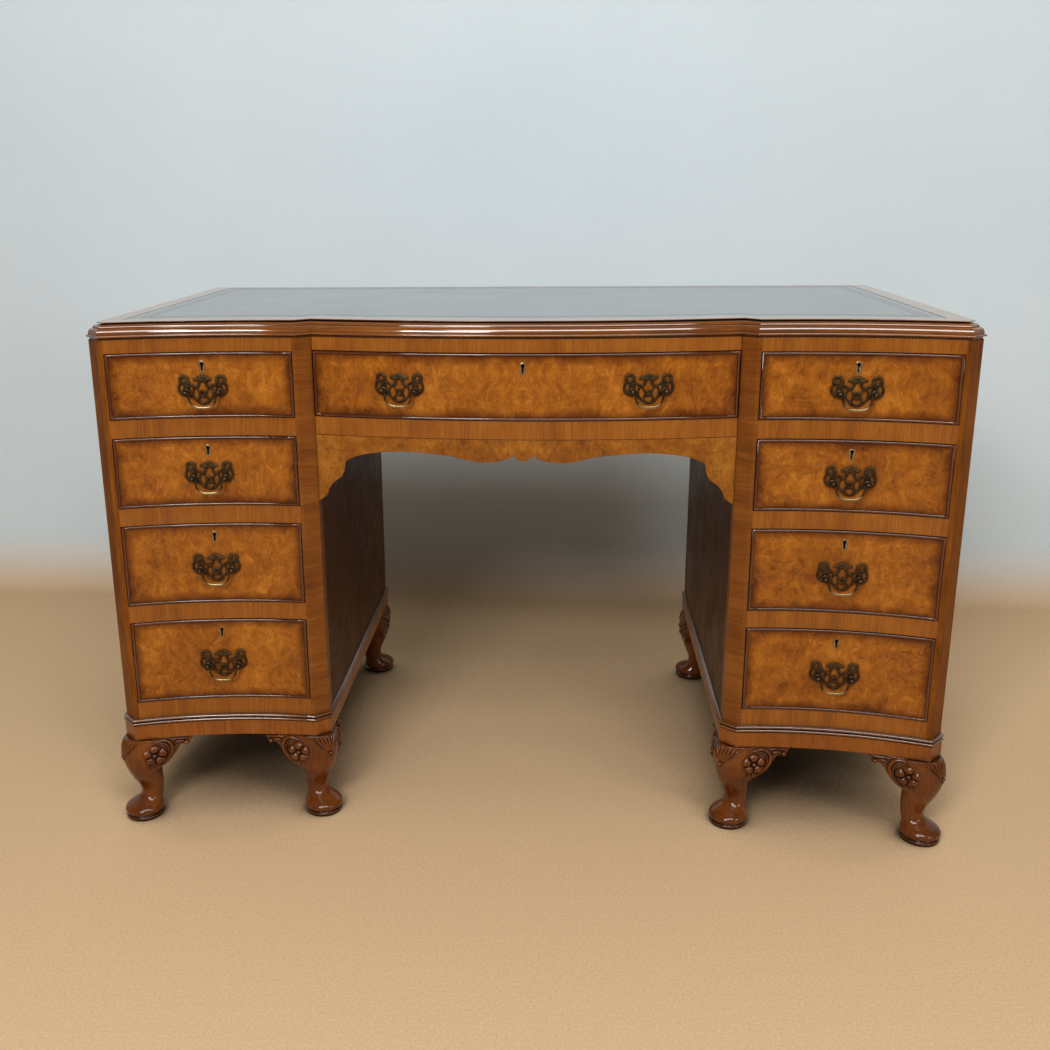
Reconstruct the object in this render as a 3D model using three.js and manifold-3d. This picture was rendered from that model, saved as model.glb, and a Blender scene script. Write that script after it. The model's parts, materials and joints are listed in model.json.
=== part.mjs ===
// Kneehole writing desk with a serpentine front: two pedestals of four drawers, a wide centre drawer
// over an open kneehole, a leather-lined moulded top and eight cabriole legs.
// Millimetres, +Z up. The front faces -Y, and the origin is on the floor under the middle of the body.
import * as THREE from 'three';
import { mergeVertices } from 'three/addons/utils/BufferGeometryUtils.js';
import Module from 'manifold-3d';

const wasm = await Module();
wasm.setup();

// Body
const bodyWidth = 1232;
const bodyDepth = 612;
const deskHeight = 776;
const legHeight = 136;
const plinthHeight = 35;
const topHeight = 24;
const pedestalWidth = 314;
const cant = 20;

// Serpentine front: how far each stretch lies behind the outer corners, and its bow
const innerCornerSetback = 31;
const centreSetback = 47;
const pedestalHollow = 14;
const centreSwell = 32;
const pedestalArcSteps = 5;
const centreArcSteps = 8;

// Boards and clearances
const sideThickness = 18;
const backThickness = 8;
const railDepth = 22;
const outerStileDepth = 40;
const innerStileDepth = 20;
const outerStileWidth = 27;
const innerStileWidth = 25;
const railHeight = 26.5;
const topRailHeight = 19;
const drawerHeightShares = [0.2095, 0.2303, 0.274, 0.2862];
const seatGap = 0.3;
const joinGap = 0.4;
const overrun = 5;

// Drawers
const frontThickness = 20;
const frontGap = 0.9;
const beadWidth = 3.6;
const beadReach = 2;
const boxGap = 3;
const boxWall = 9;
const boxBottom = 5;
const boxBottomRise = 3;
const boxHeadroom = 14;
const boxBackGap = 14;
const runnerWidth = 24;
const runnerHeight = 10;
const guideHeight = 22;
const guideGap = 0.6;
const cheekThickness = 12;
const centreBackRail = 18;

// Keyholes
const keyholeBelowTop = 20.5;
const keyholeRadius = 2.5;
const keyholeSlot = 2.6;
const keyholeLength = 12.5;
const keyholeSides = 8;

// Top board edge, and the leather let into it
const lipInset = 12;
const lipThickness = 3.2;
const lipRound = 0.8;
const quirkHeight = 3.6;
const quirkDepth = 2.2;
const ovoloRun = 11;
const ovoloSteps = 3;
const filletReach = 3;
const filletHeight = 6;
const filletRound = 1.4;
const leatherSideBorder = 28;
const leatherFrontBorder = 32;
const leatherBackBorder = 20;
const leatherThickness = 1.4;
const leatherRecess = 1.6;

// Plinth
const plinthReach = 3;
const plinthBead = 4;
const plinthBeadReach = 5;
const plinthStepReach = 2;
const plinthHollowInset = 45;
const plinthBoard = 12;

// Apron: shares of the half span and of the full drop, from the stile to the middle
const apronThickness = 13;
const apronDrop = 101;
const apronRecess = 0.8;
const apronOutlineShares = {
  foot: [0.954, 0.895],
  firstStep: [0.948, 0.82],
  firstLobe: [0.925, 0.69],
  secondStep: [0.88, 0.622],
  neck: [0.861, 0.53],
  neckTop: [0.856, 0.387],
  shoulderBend: [0.8, 0.235],
  apex: [0.588, 0.202],
  reverseBend: [0.4, 0.205],
  reverseMid: [0.3, 0.275],
  lowBend: [0.21, 0.345],
  lowest: [0.168, 0.328],
  cuspBend: [0.09, 0.318],
  cusp: [0.044, 0.234],
  pendantBend: [0.026, 0.305],
  pendant: [0, 0.308],
};
const apronCurveSteps = 3;

// Handles: a pierced plate, two ball posts and a swinging bail
const plateWidth = 71;
const plateThickness = 1.8;
const postSpacing = 47;
const postBall = 4.2;
const postNeck = 2.3;
const postCollar = 4.9;
const postCollarHeight = 2;
const postReach = 8.4;
const postSides = 8;
const pinHoleSides = 6;
const bailDrop = 19;
const bailWire = 1.6;
const bailShoulder = 17.2;
const bailFoot = 8.5;
const bailRise = 1.8;
const bailPin = 1.15;
const bailPinDepth = 2.6;
const bailPinClearance = 0.4;
const bailSides = 5;
const bailSteps = 9;
const pedestalHandleBelowMiddle = 9.5;
const centreHandleBelowMiddle = 6;
const centreHandleShare = 0.577;

// Plate outline as shares of half the plate's width, right half from the crest to the lowest point
const plateOutlineShares = [
  [0, 0.7], [0.2, 0.66], [0.36, 0.5], [0.16, 0.4], [0.2, 0.26], [0.36, 0.315], [0.52, 0.31],
  [0.55, 0.52], [0.7, 0.64], [0.86, 0.56], [0.86, 0.29], [1, 0.02], [0.9, -0.18], [0.57, -0.24],
  [0.24, -0.46], [0, -0.51],
];
// Piercings in the right half, and those on the middle line, in the same shares
const sidePiercingShares = [
  [[0.65, 0.4], [0.79, 0.41], [0.77, 0.52], [0.64, 0.51]],
  [[0.84, -0.1], [0.91, 0.02], [0.82, 0.24], [0.78, 0.05]],
  [[0.37, -0.02], [0.51, -0.02], [0.5, 0.2], [0.34, 0.17]],
  [[0.27, -0.28], [0.35, -0.12], [0.26, 0.02], [0.17, -0.12]],
];
const middlePiercingShares = [
  [[0, 0.02], [0.15, 0.16], [0.06, 0.34], [-0.06, 0.34], [-0.15, 0.16]],
  [[0, -0.42], [0.11, -0.31], [0, -0.19], [-0.11, -0.31]],
];

// Legs: the pad foot, then the shaft from the ankle up to the knee. Each level is its share of the
// pad's or the shaft's height, the share of its middle's inset from the body's corner, its share of the
// half width, and how square its section is
const padHeight = 22;
const padInset = 15;
const padRadius = 30;
const kneeInset = 30;
const kneeHalf = 30;
const legSectionPoints = 12;
const padLevelShares = [
  { height: 0, inset: 1, half: 0.84, square: 2 },
  { height: 0.27, inset: 1, half: 0.88, square: 2 },
  { height: 0.47, inset: 1, half: 1, square: 2 },
  { height: 1, inset: 1.08, half: 0.9, square: 2 },
];
const shaftLevelShares = [
  { height: 0.06, inset: 0.72, half: 0.64, square: 2 },
  { height: 0.22, inset: 0.9, half: 0.55, square: 2.1 },
  { height: 0.36, inset: 0.86, half: 0.63, square: 2.2 },
  { height: 0.53, inset: 0.68, half: 0.83, square: 2.4 },
  { height: 0.69, inset: 0.58, half: 0.99, square: 2.5 },
  { height: 0.85, inset: 0.66, half: 1.03, square: 2.6 },
  { height: 1, inset: 1, half: 0.98, square: 2.6 },
];
// Knee bracket: shares of its length from the leg's middle, and of its height below the plinth
const bracketLength = 71;
const bracketHeight = 58;
const bracketThickness = 20;
const bracketInset = 5;
const bracketOutlineShares = [
  [0, 0], [1, 0], [0.97, 0.18], [0.84, 0.28], [0.68, 0.3], [0.52, 0.52], [0.38, 0.78], [0, 1],
];

// Derived levels and places
const halfWidth = bodyWidth / 2;
const kneeholeHalf = halfWidth - pedestalWidth;
const innerCornerHalf = kneeholeHalf + cant;
const plinthBase = legHeight;
const carcassBase = legHeight + plinthHeight;
const carcassTop = deskHeight - topHeight;
const openingOuter = halfWidth - outerStileWidth;
const openingInner = kneeholeHalf + innerStileWidth;
const kneeholeStileBack = centreSetback + innerStileDepth;
const panelBack = bodyDepth - backThickness;
const friezeHalf = kneeholeHalf - joinGap;
const plateHalf = plateWidth / 2;
const ballReach = plateThickness + postReach;
const pinEnd = postSpacing / 2 - postBall + bailPinDepth;

// A circular arc through two plan points, bowed towards +Y by its rise
function planArc(from, to, rise) {
  const chord = new THREE.Vector2(to[0] - from[0], to[1] - from[1]);
  const radius = (chord.lengthSq() / 4 + rise * rise) / (2 * rise);
  const normal = new THREE.Vector2(-chord.y, chord.x).normalize();
  const middle = new THREE.Vector2((from[0] + to[0]) / 2, (from[1] + to[1]) / 2);
  const centre = middle.addScaledVector(normal, rise - radius);
  const root = (x) => Math.sign(rise) * Math.sqrt(radius * radius - (x - centre.x) ** 2);
  return {
    radius,
    y: (x) => centre.y + root(x),
    slope: (x) => -(x - centre.x) / root(x),
  };
}

const pedestalArc = planArc([-(halfWidth - cant), 0], [-innerCornerHalf, innerCornerSetback], pedestalHollow);
const faces = {
  left: pedestalArc,
  right: { radius: pedestalArc.radius, y: (x) => pedestalArc.y(-x), slope: (x) => -pedestalArc.slope(-x) },
  centre: planArc([-kneeholeHalf, centreSetback], [kneeholeHalf, centreSetback], -centreSwell),
};

// Points along a face from x0 to x1, moved back by a distance
function facePoints(face, x0, x1, back, steps) {
  return Array.from({ length: steps + 1 }, (_, i) => {
    const x = x0 + ((x1 - x0) * i) / steps;
    return [x, face.y(x) + back];
  });
}

// Plan outline of a strip that follows a face, between two distances behind it
function bandOutline(face, x0, x1, front, back, steps) {
  return [...facePoints(face, x0, x1, front, steps), ...facePoints(face, x1, x0, back, steps)];
}

const mirrored = (outline) => outline.map(([x, y]) => [-x, y]).reverse();

function pedestalFront() {
  return [
    [-halfWidth, cant],
    ...facePoints(faces.left, -(halfWidth - cant), -innerCornerHalf, 0, pedestalArcSteps),
    [-kneeholeHalf, centreSetback],
  ];
}

// Moves a closed anticlockwise outline outwards, with mitred corners
function offsetOutline(outline, distance) {
  const count = outline.length;
  return outline.map((point, i) => {
    const before = outline[(i + count - 1) % count];
    const after = outline[(i + 1) % count];
    const n1 = new THREE.Vector2(point[1] - before[1], before[0] - point[0]).normalize();
    const n2 = new THREE.Vector2(after[1] - point[1], point[0] - after[0]).normalize();
    const reach = distance / (1 + n1.dot(n2));
    return [point[0] + (n1.x + n2.x) * reach, point[1] + (n1.y + n2.y) * reach];
  });
}

// Joins rings of equal length into one closed body, with a flat cap at each end
function loftRings(rings) {
  const count = rings[0].length;
  const positions = rings.flat().flat();
  const index = [];
  for (let r = 0; r < rings.length - 1; r += 1) {
    for (let i = 0; i < count; i += 1) {
      const a = r * count + i;
      const b = r * count + ((i + 1) % count);
      index.push(a, b, b + count, a, b + count, a + count);
    }
  }
  const capOf = (ring) => {
    const points = ring.map(([x, y]) => new THREE.Vector2(x, y));
    return THREE.ShapeUtils.triangulateShape(points, []);
  };
  const last = (rings.length - 1) * count;
  for (const [a, b, c] of capOf(rings[0])) index.push(a, c, b);
  for (const [a, b, c] of capOf(rings[rings.length - 1])) index.push(last + a, last + b, last + c);
  const geometry = new THREE.BufferGeometry();
  geometry.setAttribute('position', new THREE.Float32BufferAttribute(positions, 3));
  geometry.setIndex(index);
  return geometry;
}

// Lofts an outline through levels of height and outward offset
function loftOutline(outline, levels) {
  return loftRings(levels.map(([z, offset]) => offsetOutline(outline, offset).map(([x, y]) => [x, y, z])));
}

function shapeOf(outline, holes = []) {
  const shape = new THREE.Shape(outline.map(([x, y]) => new THREE.Vector2(x, y)));
  shape.holes = holes.map((hole) => new THREE.Path(hole.map(([x, y]) => new THREE.Vector2(x, y))));
  return shape;
}

// Extrudes a plan outline between two heights
function plate(outline, bottom, top) {
  const geometry = new THREE.ExtrudeGeometry(shapeOf(outline), { depth: top - bottom, bevelEnabled: false });
  return geometry.translate(0, 0, bottom);
}

// Extrudes an outline drawn in X and Z from front to back
function profile(outline, front, back, holes) {
  const shape = shapeOf(outline, holes);
  const geometry = new THREE.ExtrudeGeometry(shape, { depth: back - front, bevelEnabled: false });
  return geometry.rotateX(Math.PI / 2).translate(0, back, 0);
}

// A box between two places along each axis, which may come in either order
function board(x0, x1, y0, y1, z0, z1) {
  const box = new THREE.BoxGeometry(Math.abs(x1 - x0), Math.abs(y1 - y0), Math.abs(z1 - z0));
  return box.translate((x0 + x1) / 2, (y0 + y1) / 2, (z0 + z1) / 2);
}

// Positions alone, with shared vertices merged
function welded(geometry) {
  const bare = new THREE.BufferGeometry();
  bare.setAttribute('position', geometry.getAttribute('position'));
  if (geometry.index) bare.setIndex(geometry.index);
  return mergeVertices(bare);
}

// Closed geometry to solid and back, for joins and cuts
function solid(geometry) {
  const { attributes, index } = welded(geometry);
  const mesh = new wasm.Mesh({
    numProp: 3,
    vertProperties: Float32Array.from(attributes.position.array),
    triVerts: Uint32Array.from(index.array),
  });
  return new wasm.Manifold(mesh);
}

function geometryOf(manifold) {
  const mesh = manifold.getMesh();
  const geometry = new THREE.BufferGeometry();
  geometry.setAttribute('position', new THREE.BufferAttribute(mesh.vertProperties, 3));
  geometry.setIndex(new THREE.BufferAttribute(mesh.triVerts, 1));
  return geometry;
}

const join = (pieces) => pieces.map(solid).reduce((sum, piece) => sum.add(piece));
const cut = (body, cutters) => cutters.map(solid).reduce((rest, cutter) => rest.subtract(cutter), body);

// Turns a geometry over in X or Y, keeping its faces outwards
function flipped(geometry, signX, signY) {
  const copy = geometry.clone().scale(signX, signY, 1);
  if (signX * signY < 0) {
    const order = copy.index.array;
    for (let i = 0; i < order.length; i += 3) [order[i], order[i + 1]] = [order[i + 1], order[i]];
  }
  return copy;
}

const desk = new THREE.Group();
desk.position.y = -bodyDepth / 2;

const finishes = {
  walnut: { color: 0x8a4b1e, roughness: 0.32, metalness: 0 },
  burr: { color: 0xa9642a, roughness: 0.28, metalness: 0 },
  leg: { color: 0x6e3216, roughness: 0.25, metalness: 0 },
  oak: { color: 0xb58a58, roughness: 0.65, metalness: 0 },
  leather: { color: 0x27332c, roughness: 0.42, metalness: 0 },
  bronze: { color: 0x4a3a22, roughness: 0.38, metalness: 0.9 },
};

function addPiece(name, geometry, finish, parent = desk) {
  const mesh = new THREE.Mesh(geometry, new THREE.MeshStandardMaterial(finishes[finish]));
  mesh.name = name;
  parent.add(mesh);
}

// Top board: a thin lip over a shadow quirk, a quarter round and a small fillet
function topOutline() {
  const front = pedestalFront();
  const centre = facePoints(faces.centre, -kneeholeHalf, kneeholeHalf, 0, centreArcSteps).slice(1, -1);
  return [...front, ...centre, ...mirrored(front), [halfWidth, bodyDepth], [-halfWidth, bodyDepth]];
}

function leatherOutline(margin) {
  const half = halfWidth - lipInset - leatherSideBorder - margin;
  const back = lipInset + leatherFrontBorder + margin;
  const left = facePoints(faces.left, -half, -innerCornerHalf, back, pedestalArcSteps);
  const centre = facePoints(faces.centre, -kneeholeHalf, kneeholeHalf, back, centreArcSteps);
  const rear = bodyDepth - lipInset - leatherBackBorder - margin;
  return [...left, ...centre, ...mirrored(left), [half, rear], [-half, rear]];
}

function buildTop() {
  const filletTop = carcassTop + filletHeight;
  const lipBase = deskHeight - lipThickness;
  const quirkBase = lipBase - quirkHeight;
  const ovolo = Array.from({ length: ovoloSteps + 1 }, (_, i) => {
    const turn = (Math.PI / 2) * (i / ovoloSteps);
    return [filletTop + (quirkBase - filletTop) * Math.sin(turn), ovoloRun * (Math.cos(turn) - 1)];
  });
  const levels = [
    [carcassTop, filletReach - filletRound],
    [carcassTop + filletRound, filletReach],
    [filletTop - filletRound, filletReach],
    [filletTop, filletReach - filletRound],
    ...ovolo,
    [quirkBase, -lipInset - quirkDepth],
    [lipBase, -lipInset - quirkDepth],
    [lipBase, -lipInset],
    [deskHeight - lipRound, -lipInset],
    [deskHeight, -lipInset - lipRound],
  ];
  const recessFloor = deskHeight - leatherRecess;
  const recess = plate(leatherOutline(0), recessFloor, deskHeight + overrun);
  const topBoard = cut(solid(loftOutline(topOutline(), levels)), [recess]);
  addPiece('top_board', geometryOf(topBoard), 'walnut');
  const leather = plate(leatherOutline(seatGap), recessFloor, recessFloor + leatherThickness);
  addPiece('leather_inset', leather, 'leather');
}

// Drawer openings from the top down, which share the height left between the rails
function openingLevels() {
  let top = carcassTop - topRailHeight;
  const clearHeight = top - carcassBase - railHeight * drawerHeightShares.length;
  return drawerHeightShares.map((share) => {
    const level = { bottom: top - clearHeight * share, top };
    top = level.bottom - railHeight;
    return level;
  });
}

const levels = openingLevels();

// A side with the runner and guide of each drawer glued to its inner face
function sidePanel(outerFace, innerFace, front, boxSide) {
  const inward = Math.sign(innerFace - outerFace);
  const root = (outerFace + innerFace) / 2;
  const panel = board(outerFace, innerFace, front, bodyDepth, carcassBase, carcassTop);
  const strips = levels.flatMap(({ bottom }) => drawerStrips(root, boxSide, inward, front, bottom));
  return join([panel, ...strips]);
}

// A runner under one side of a drawer box and a guide beside it, let into the board that carries them
function drawerStrips(root, boxSide, inward, front, bottom) {
  const runnerEdge = boxSide + inward * (runnerWidth / 2);
  const guideEdge = boxSide - inward * guideGap;
  return [
    board(root, runnerEdge, front, panelBack, bottom - runnerHeight, bottom),
    board(root, guideEdge, front, panelBack, bottom - runnerHeight, bottom + guideHeight),
  ];
}

// Face frame: the canted stiles and the rails between the drawer openings
function frontFrame() {
  const outline = [
    ...pedestalFront(),
    [-kneeholeHalf, kneeholeStileBack],
    [-openingInner, kneeholeStileBack],
    ...facePoints(faces.left, -openingInner, -openingOuter, railDepth, pedestalArcSteps),
    [-openingOuter, outerStileDepth],
    [-halfWidth, outerStileDepth],
  ];
  const openings = levels.map(({ bottom, top }) => (
    board(-openingOuter, -openingInner, -overrun, kneeholeStileBack + overrun, bottom, top)
  ));
  return cut(solid(plate(outline, carcassBase, carcassTop)), openings);
}

function pedestalPlinth() {
  const outline = [...pedestalFront(), [-kneeholeHalf, bodyDepth], [-halfWidth, bodyDepth]];
  const upperBead = carcassBase - plinthBead;
  const lowerBead = upperBead - plinthBead;
  const body = loftOutline(outline, [
    [plinthBase, plinthReach],
    [lowerBead - plinthBead / 2, plinthReach],
    [lowerBead - plinthBead / 2, plinthBeadReach - plinthStepReach / 4],
    [lowerBead, plinthBeadReach],
    [lowerBead + plinthBead / 2, plinthBeadReach - plinthStepReach / 4],
    [upperBead - plinthBead / 2, plinthStepReach / 2],
    [upperBead, plinthBeadReach - plinthStepReach],
    [upperBead + plinthBead / 2, plinthBeadReach - plinthStepReach],
    [carcassBase, plinthStepReach / 2],
  ]);
  const hollow = board(
    -halfWidth + plinthHollowInset,
    -kneeholeHalf - plinthHollowInset,
    innerCornerSetback + plinthHollowInset,
    bodyDepth - plinthHollowInset,
    plinthBase - overrun,
    carcassBase - plinthBoard,
  );
  return cut(solid(body), [hollow]);
}

function buildPedestal(side, sign) {
  const boxOuter = -(openingOuter - boxGap);
  const boxInner = -(openingInner + boxGap);
  const pieces = {
    outer_side: sidePanel(-halfWidth, -(halfWidth - sideThickness), outerStileDepth, boxOuter),
    inner_side: sidePanel(-kneeholeHalf, -(kneeholeHalf + sideThickness), kneeholeStileBack, boxInner),
    front_frame: frontFrame(),
    plinth: pedestalPlinth(),
  };
  for (const [name, body] of Object.entries(pieces)) {
    addPiece(`${side}_${name}`, flipped(geometryOf(body), sign, 1), 'walnut');
  }
  const backOuter = -(halfWidth - sideThickness) * sign;
  const backInner = -(kneeholeHalf + sideThickness) * sign;
  const back = board(backOuter, backInner, panelBack, bodyDepth, carcassBase, carcassTop);
  addPiece(`${side}_back_panel`, back, 'walnut');
}

// Drawer front with its raised cockbead and keyhole
function drawerFront(face, x0, x1, z0, z1, steps) {
  const ring = (inset, front, back) => (
    plate(bandOutline(face, x0 + inset, x1 - inset, front, back, steps), z0 + inset, z1 - inset)
  );
  const blank = solid(ring(0, -beadReach, frontThickness));
  const panel = ring(beadWidth, -(beadReach + overrun), 0);
  return cut(blank, [panel, ...keyholeCutters(face, (x0 + x1) / 2, z1 - keyholeBelowTop)]);
}

// A keyhole about its middle: a round eye over a narrow slot
function keyholeCutters(face, x, z) {
  const top = z + keyholeLength / 2;
  const eyeHeight = top - keyholeRadius;
  const eye = Array.from({ length: keyholeSides }, (_, i) => {
    const turn = (2 * Math.PI * i) / keyholeSides;
    return [x + keyholeRadius * Math.cos(turn), eyeHeight + keyholeRadius * Math.sin(turn)];
  });
  const front = face.y(x) - overrun;
  const back = face.y(x) + frontThickness + overrun;
  const slot = board(x - keyholeSlot / 2, x + keyholeSlot / 2, front, back, top - keyholeLength, eyeHeight);
  return [profile(eye, front, back), slot];
}

// Drawer box: sides, back and bottom, open at the top, ending behind the front
function drawerBox(face, x0, x1, bottom, height, steps) {
  const back = panelBack - boxBackGap;
  const base = bottom + seatGap;
  const top = base + height;
  const shell = solid(board(x0, x1, 0, back, base, top));
  const floor = base + boxBottomRise + boxBottom;
  const inside = [x0 + boxWall, x1 - boxWall, -overrun, back - boxWall];
  const space = board(...inside, floor, top + overrun);
  const recess = board(...inside, base - overrun, base + boxBottomRise);
  const frontZone = plate(
    bandOutline(face, x0 - overrun, x1 + overrun, -bodyDepth / 2, frontThickness + seatGap, steps),
    base - overrun,
    top + overrun,
  );
  return cut(shell, [space, recess, frontZone]);
}

function buildDrawer(name, face, x0, x1, boxInset, level, steps) {
  const frontBase = level.bottom + frontGap;
  const frontTop = level.top - frontGap;
  const front = drawerFront(face, x0 + frontGap, x1 - frontGap, frontBase, frontTop, steps);
  addPiece(`${name}_front`, geometryOf(front), 'burr');
  const height = level.top - level.bottom - boxHeadroom;
  const box = drawerBox(face, x0 + boxInset, x1 - boxInset, level.bottom, height, steps);
  addPiece(`${name}_box`, geometryOf(box), 'oak');
}

// Pierced plate with its two ball posts, drawn about the line through the posts' middles
function handlePlate() {
  const scaled = (outline, sign = 1) => {
    const points = outline.map(([x, z]) => [x * plateHalf * sign, z * plateHalf]);
    return sign < 0 ? points.reverse() : points;
  };
  const right = scaled(plateOutlineShares);
  const outline = [...right, ...mirrored(right).slice(1, -1)];
  const holes = [
    ...middlePiercingShares.map((hole) => scaled(hole)),
    ...sidePiercingShares.flatMap((hole) => [scaled(hole), scaled(hole, -1)]),
  ];
  const sheet = profile(outline, -plateThickness, 0, holes);
  return handlePost(-1).add(handlePost(1)).add(solid(sheet));
}

// A turned post on one side: collar, neck and ball, with a blind hole for the bail's pin
function handlePost(sign) {
  const shoulder = postBall * Math.SQRT1_2;
  const outline = [
    [0, 0],
    [postCollar, 0],
    [postNeck, plateThickness + postCollarHeight],
    [shoulder, ballReach - shoulder],
    [postBall, ballReach],
    [shoulder, ballReach + shoulder],
    [0, ballReach + postBall],
  ].map(([radius, reach]) => new THREE.Vector2(radius, reach));
  const post = new THREE.LatheGeometry(outline, postSides).rotateX(Math.PI);
  const holeRadius = bailPin + bailPinClearance;
  const holeStart = postSpacing / 2 - postBall - overrun;
  const holeEnd = pinEnd + seatGap;
  const hole = new THREE.CylinderGeometry(holeRadius, holeRadius, holeEnd - holeStart, pinHoleSides)
    .rotateZ(Math.PI / 2)
    .translate((sign * (holeStart + holeEnd)) / 2, -ballReach, 0);
  return cut(solid(post.translate((sign * postSpacing) / 2, 0, 0)), [hole]);
}

// Swan-neck bail: a wire with a flat grip, and a pin at each end
function handleBail() {
  const wire = Array.from({ length: bailSides }, (_, i) => {
    const turn = (2 * Math.PI * i) / bailSides;
    return new THREE.Vector2(bailWire * Math.cos(turn), bailWire * Math.sin(turn));
  });
  const side = (sign) => [
    new THREE.Vector3(sign * bailShoulder, 0, bailRise),
    new THREE.Vector3(sign * bailShoulder, 0, -bailDrop / 4),
    new THREE.Vector3(sign * (bailShoulder + bailFoot) / 2, 0, -bailDrop * (7 / 8)),
    new THREE.Vector3(sign * bailFoot, 0, -bailDrop),
  ];
  const [p0, p1, p2, p3] = side(-1);
  const [q0, q1, q2, q3] = side(1);
  const path = new THREE.CatmullRomCurve3([p0, p1, p2, p3, q3, q2, q1, q0]);
  const grip = new THREE.ExtrudeGeometry(new THREE.Shape(wire), {
    steps: bailSteps,
    extrudePath: path,
    bevelEnabled: false,
  });
  const pins = [-1, 1].map((sign) => (
    new THREE.CylinderGeometry(bailPin, bailPin, pinEnd - bailShoulder, bailSides)
      .rotateZ(Math.PI / 2)
      .translate((sign * (pinEnd + bailShoulder)) / 2, 0, 0)
  ));
  return join([grip, ...pins]).translate([0, -ballReach, 0]);
}

const plateGeometry = geometryOf(handlePlate());
const bailGeometry = geometryOf(handleBail());

// Stands a handle on a face, clear of the edges of a hollow one and of the facets that draw it
function addHandle(name, face, x, z) {
  const halfFacet = pedestalWidth / pedestalArcSteps / 2;
  const hollow = (plateHalf ** 2 + halfFacet ** 2) / (2 * Math.abs(face.radius));
  const slope = face.slope(x);
  const lift = (face === faces.centre ? seatGap : seatGap + hollow) * Math.hypot(1, slope);
  const handle = new THREE.Group();
  handle.position.set(x, face.y(x) - lift, z);
  handle.rotation.z = Math.atan(slope);
  desk.add(handle);
  addPiece(`${name}_handle_plate`, plateGeometry, 'bronze', handle);
  addPiece(`${name}_handle_bail`, bailGeometry, 'bronze', handle);
}

function buildPedestalDrawers(side, sign) {
  const edges = [openingOuter * sign, openingInner * sign].sort((a, b) => a - b);
  levels.forEach((level, i) => {
    const name = `${side}_drawer_${i + 1}`;
    buildDrawer(name, faces[side], ...edges, boxGap, level, pedestalArcSteps);
    const middle = (level.bottom + level.top) / 2;
    addHandle(name, faces[side], (edges[0] + edges[1]) / 2, middle - pedestalHandleBelowMiddle);
  });
}

// Centre frieze: rails above and below the wide drawer, cheeks with runners, and a back rail
function buildCentre() {
  const level = levels[0];
  const lowerRailBase = level.bottom - railHeight;
  addPiece('centre_frieze_frame', geometryOf(friezeFrame(level, lowerRailBase)), 'walnut');
  const boxInset = cheekThickness + boxGap;
  buildDrawer('centre_drawer', faces.centre, -friezeHalf, friezeHalf, boxInset, level, centreArcSteps);
  const handleHeight = (level.bottom + level.top) / 2 - centreHandleBelowMiddle;
  const handlePlace = friezeHalf * centreHandleShare;
  addHandle('centre_drawer_left', faces.centre, -handlePlace, handleHeight);
  addHandle('centre_drawer_right', faces.centre, handlePlace, handleHeight);
  buildApron(lowerRailBase - joinGap);
}

function friezeFrame(level, base) {
  const railOutline = bandOutline(faces.centre, -friezeHalf, friezeHalf, 0, railDepth, centreArcSteps);
  const cheekFront = centreSetback + railDepth / 2;
  const cheekInner = friezeHalf - cheekThickness;
  const backRailFront = bodyDepth - centreBackRail;
  const cheeksAndBack = [
    [-friezeHalf, cheekFront],
    [-cheekInner, cheekFront],
    [-cheekInner, backRailFront],
    [cheekInner, backRailFront],
    [cheekInner, cheekFront],
    [friezeHalf, cheekFront],
    [friezeHalf, bodyDepth],
    [-friezeHalf, bodyDepth],
  ];
  const cheekMiddle = friezeHalf - cheekThickness / 2;
  const boxHalf = cheekInner - boxGap;
  const strips = [-1, 1].flatMap((sign) => (
    drawerStrips(cheekMiddle * sign, boxHalf * sign, -sign, cheekFront, level.bottom)
  ));
  const frame = join([
    plate(cheeksAndBack, base, carcassTop),
    plate(railOutline, level.top, carcassTop),
    plate(railOutline, base, level.bottom),
    ...strips,
  ]);
  const roomHalf = friezeHalf + overrun;
  const roomBack = centreSetback + railDepth + frontGap;
  return cut(frame, [board(-roomHalf, roomHalf, -overrun, roomBack, level.bottom, level.top)]);
}

// Apron outline: stepped spandrels at the stiles, a long ogee and a small pendant in the middle
function apronOutline(top) {
  const s = apronOutlineShares;
  const at = ([x, z]) => [x * friezeHalf, top - z * apronDrop];
  const right = new THREE.Shape();
  right.moveTo(...at([1, 1]));
  right.lineTo(...at(s.foot));
  right.lineTo(...at(s.firstStep));
  right.quadraticCurveTo(...at(s.firstLobe), ...at(s.secondStep));
  right.quadraticCurveTo(...at(s.neck), ...at(s.neckTop));
  right.quadraticCurveTo(...at(s.shoulderBend), ...at(s.apex));
  right.quadraticCurveTo(...at(s.reverseBend), ...at(s.reverseMid));
  right.quadraticCurveTo(...at(s.lowBend), ...at(s.lowest));
  right.quadraticCurveTo(...at(s.cuspBend), ...at(s.cusp));
  right.quadraticCurveTo(...at(s.pendantBend), ...at(s.pendant));
  const lower = right.getPoints(apronCurveSteps).map((point) => [point.x, point.y]);
  const left = lower.slice(0, -1).reverse().map(([x, z]) => [-x, z]);
  return [[friezeHalf, top], ...lower, ...left, [-friezeHalf, top]].reverse();
}

function buildApron(top) {
  const back = apronRecess + apronThickness;
  const strip = bandOutline(faces.centre, -friezeHalf, friezeHalf, apronRecess, back, centreArcSteps);
  const blank = solid(plate(strip, top - apronDrop - overrun, top));
  const shaped = blank.intersect(solid(profile(apronOutline(top), -overrun, bodyDepth)));
  addPiece('centre_apron', geometryOf(shaped), 'walnut');
}

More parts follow.
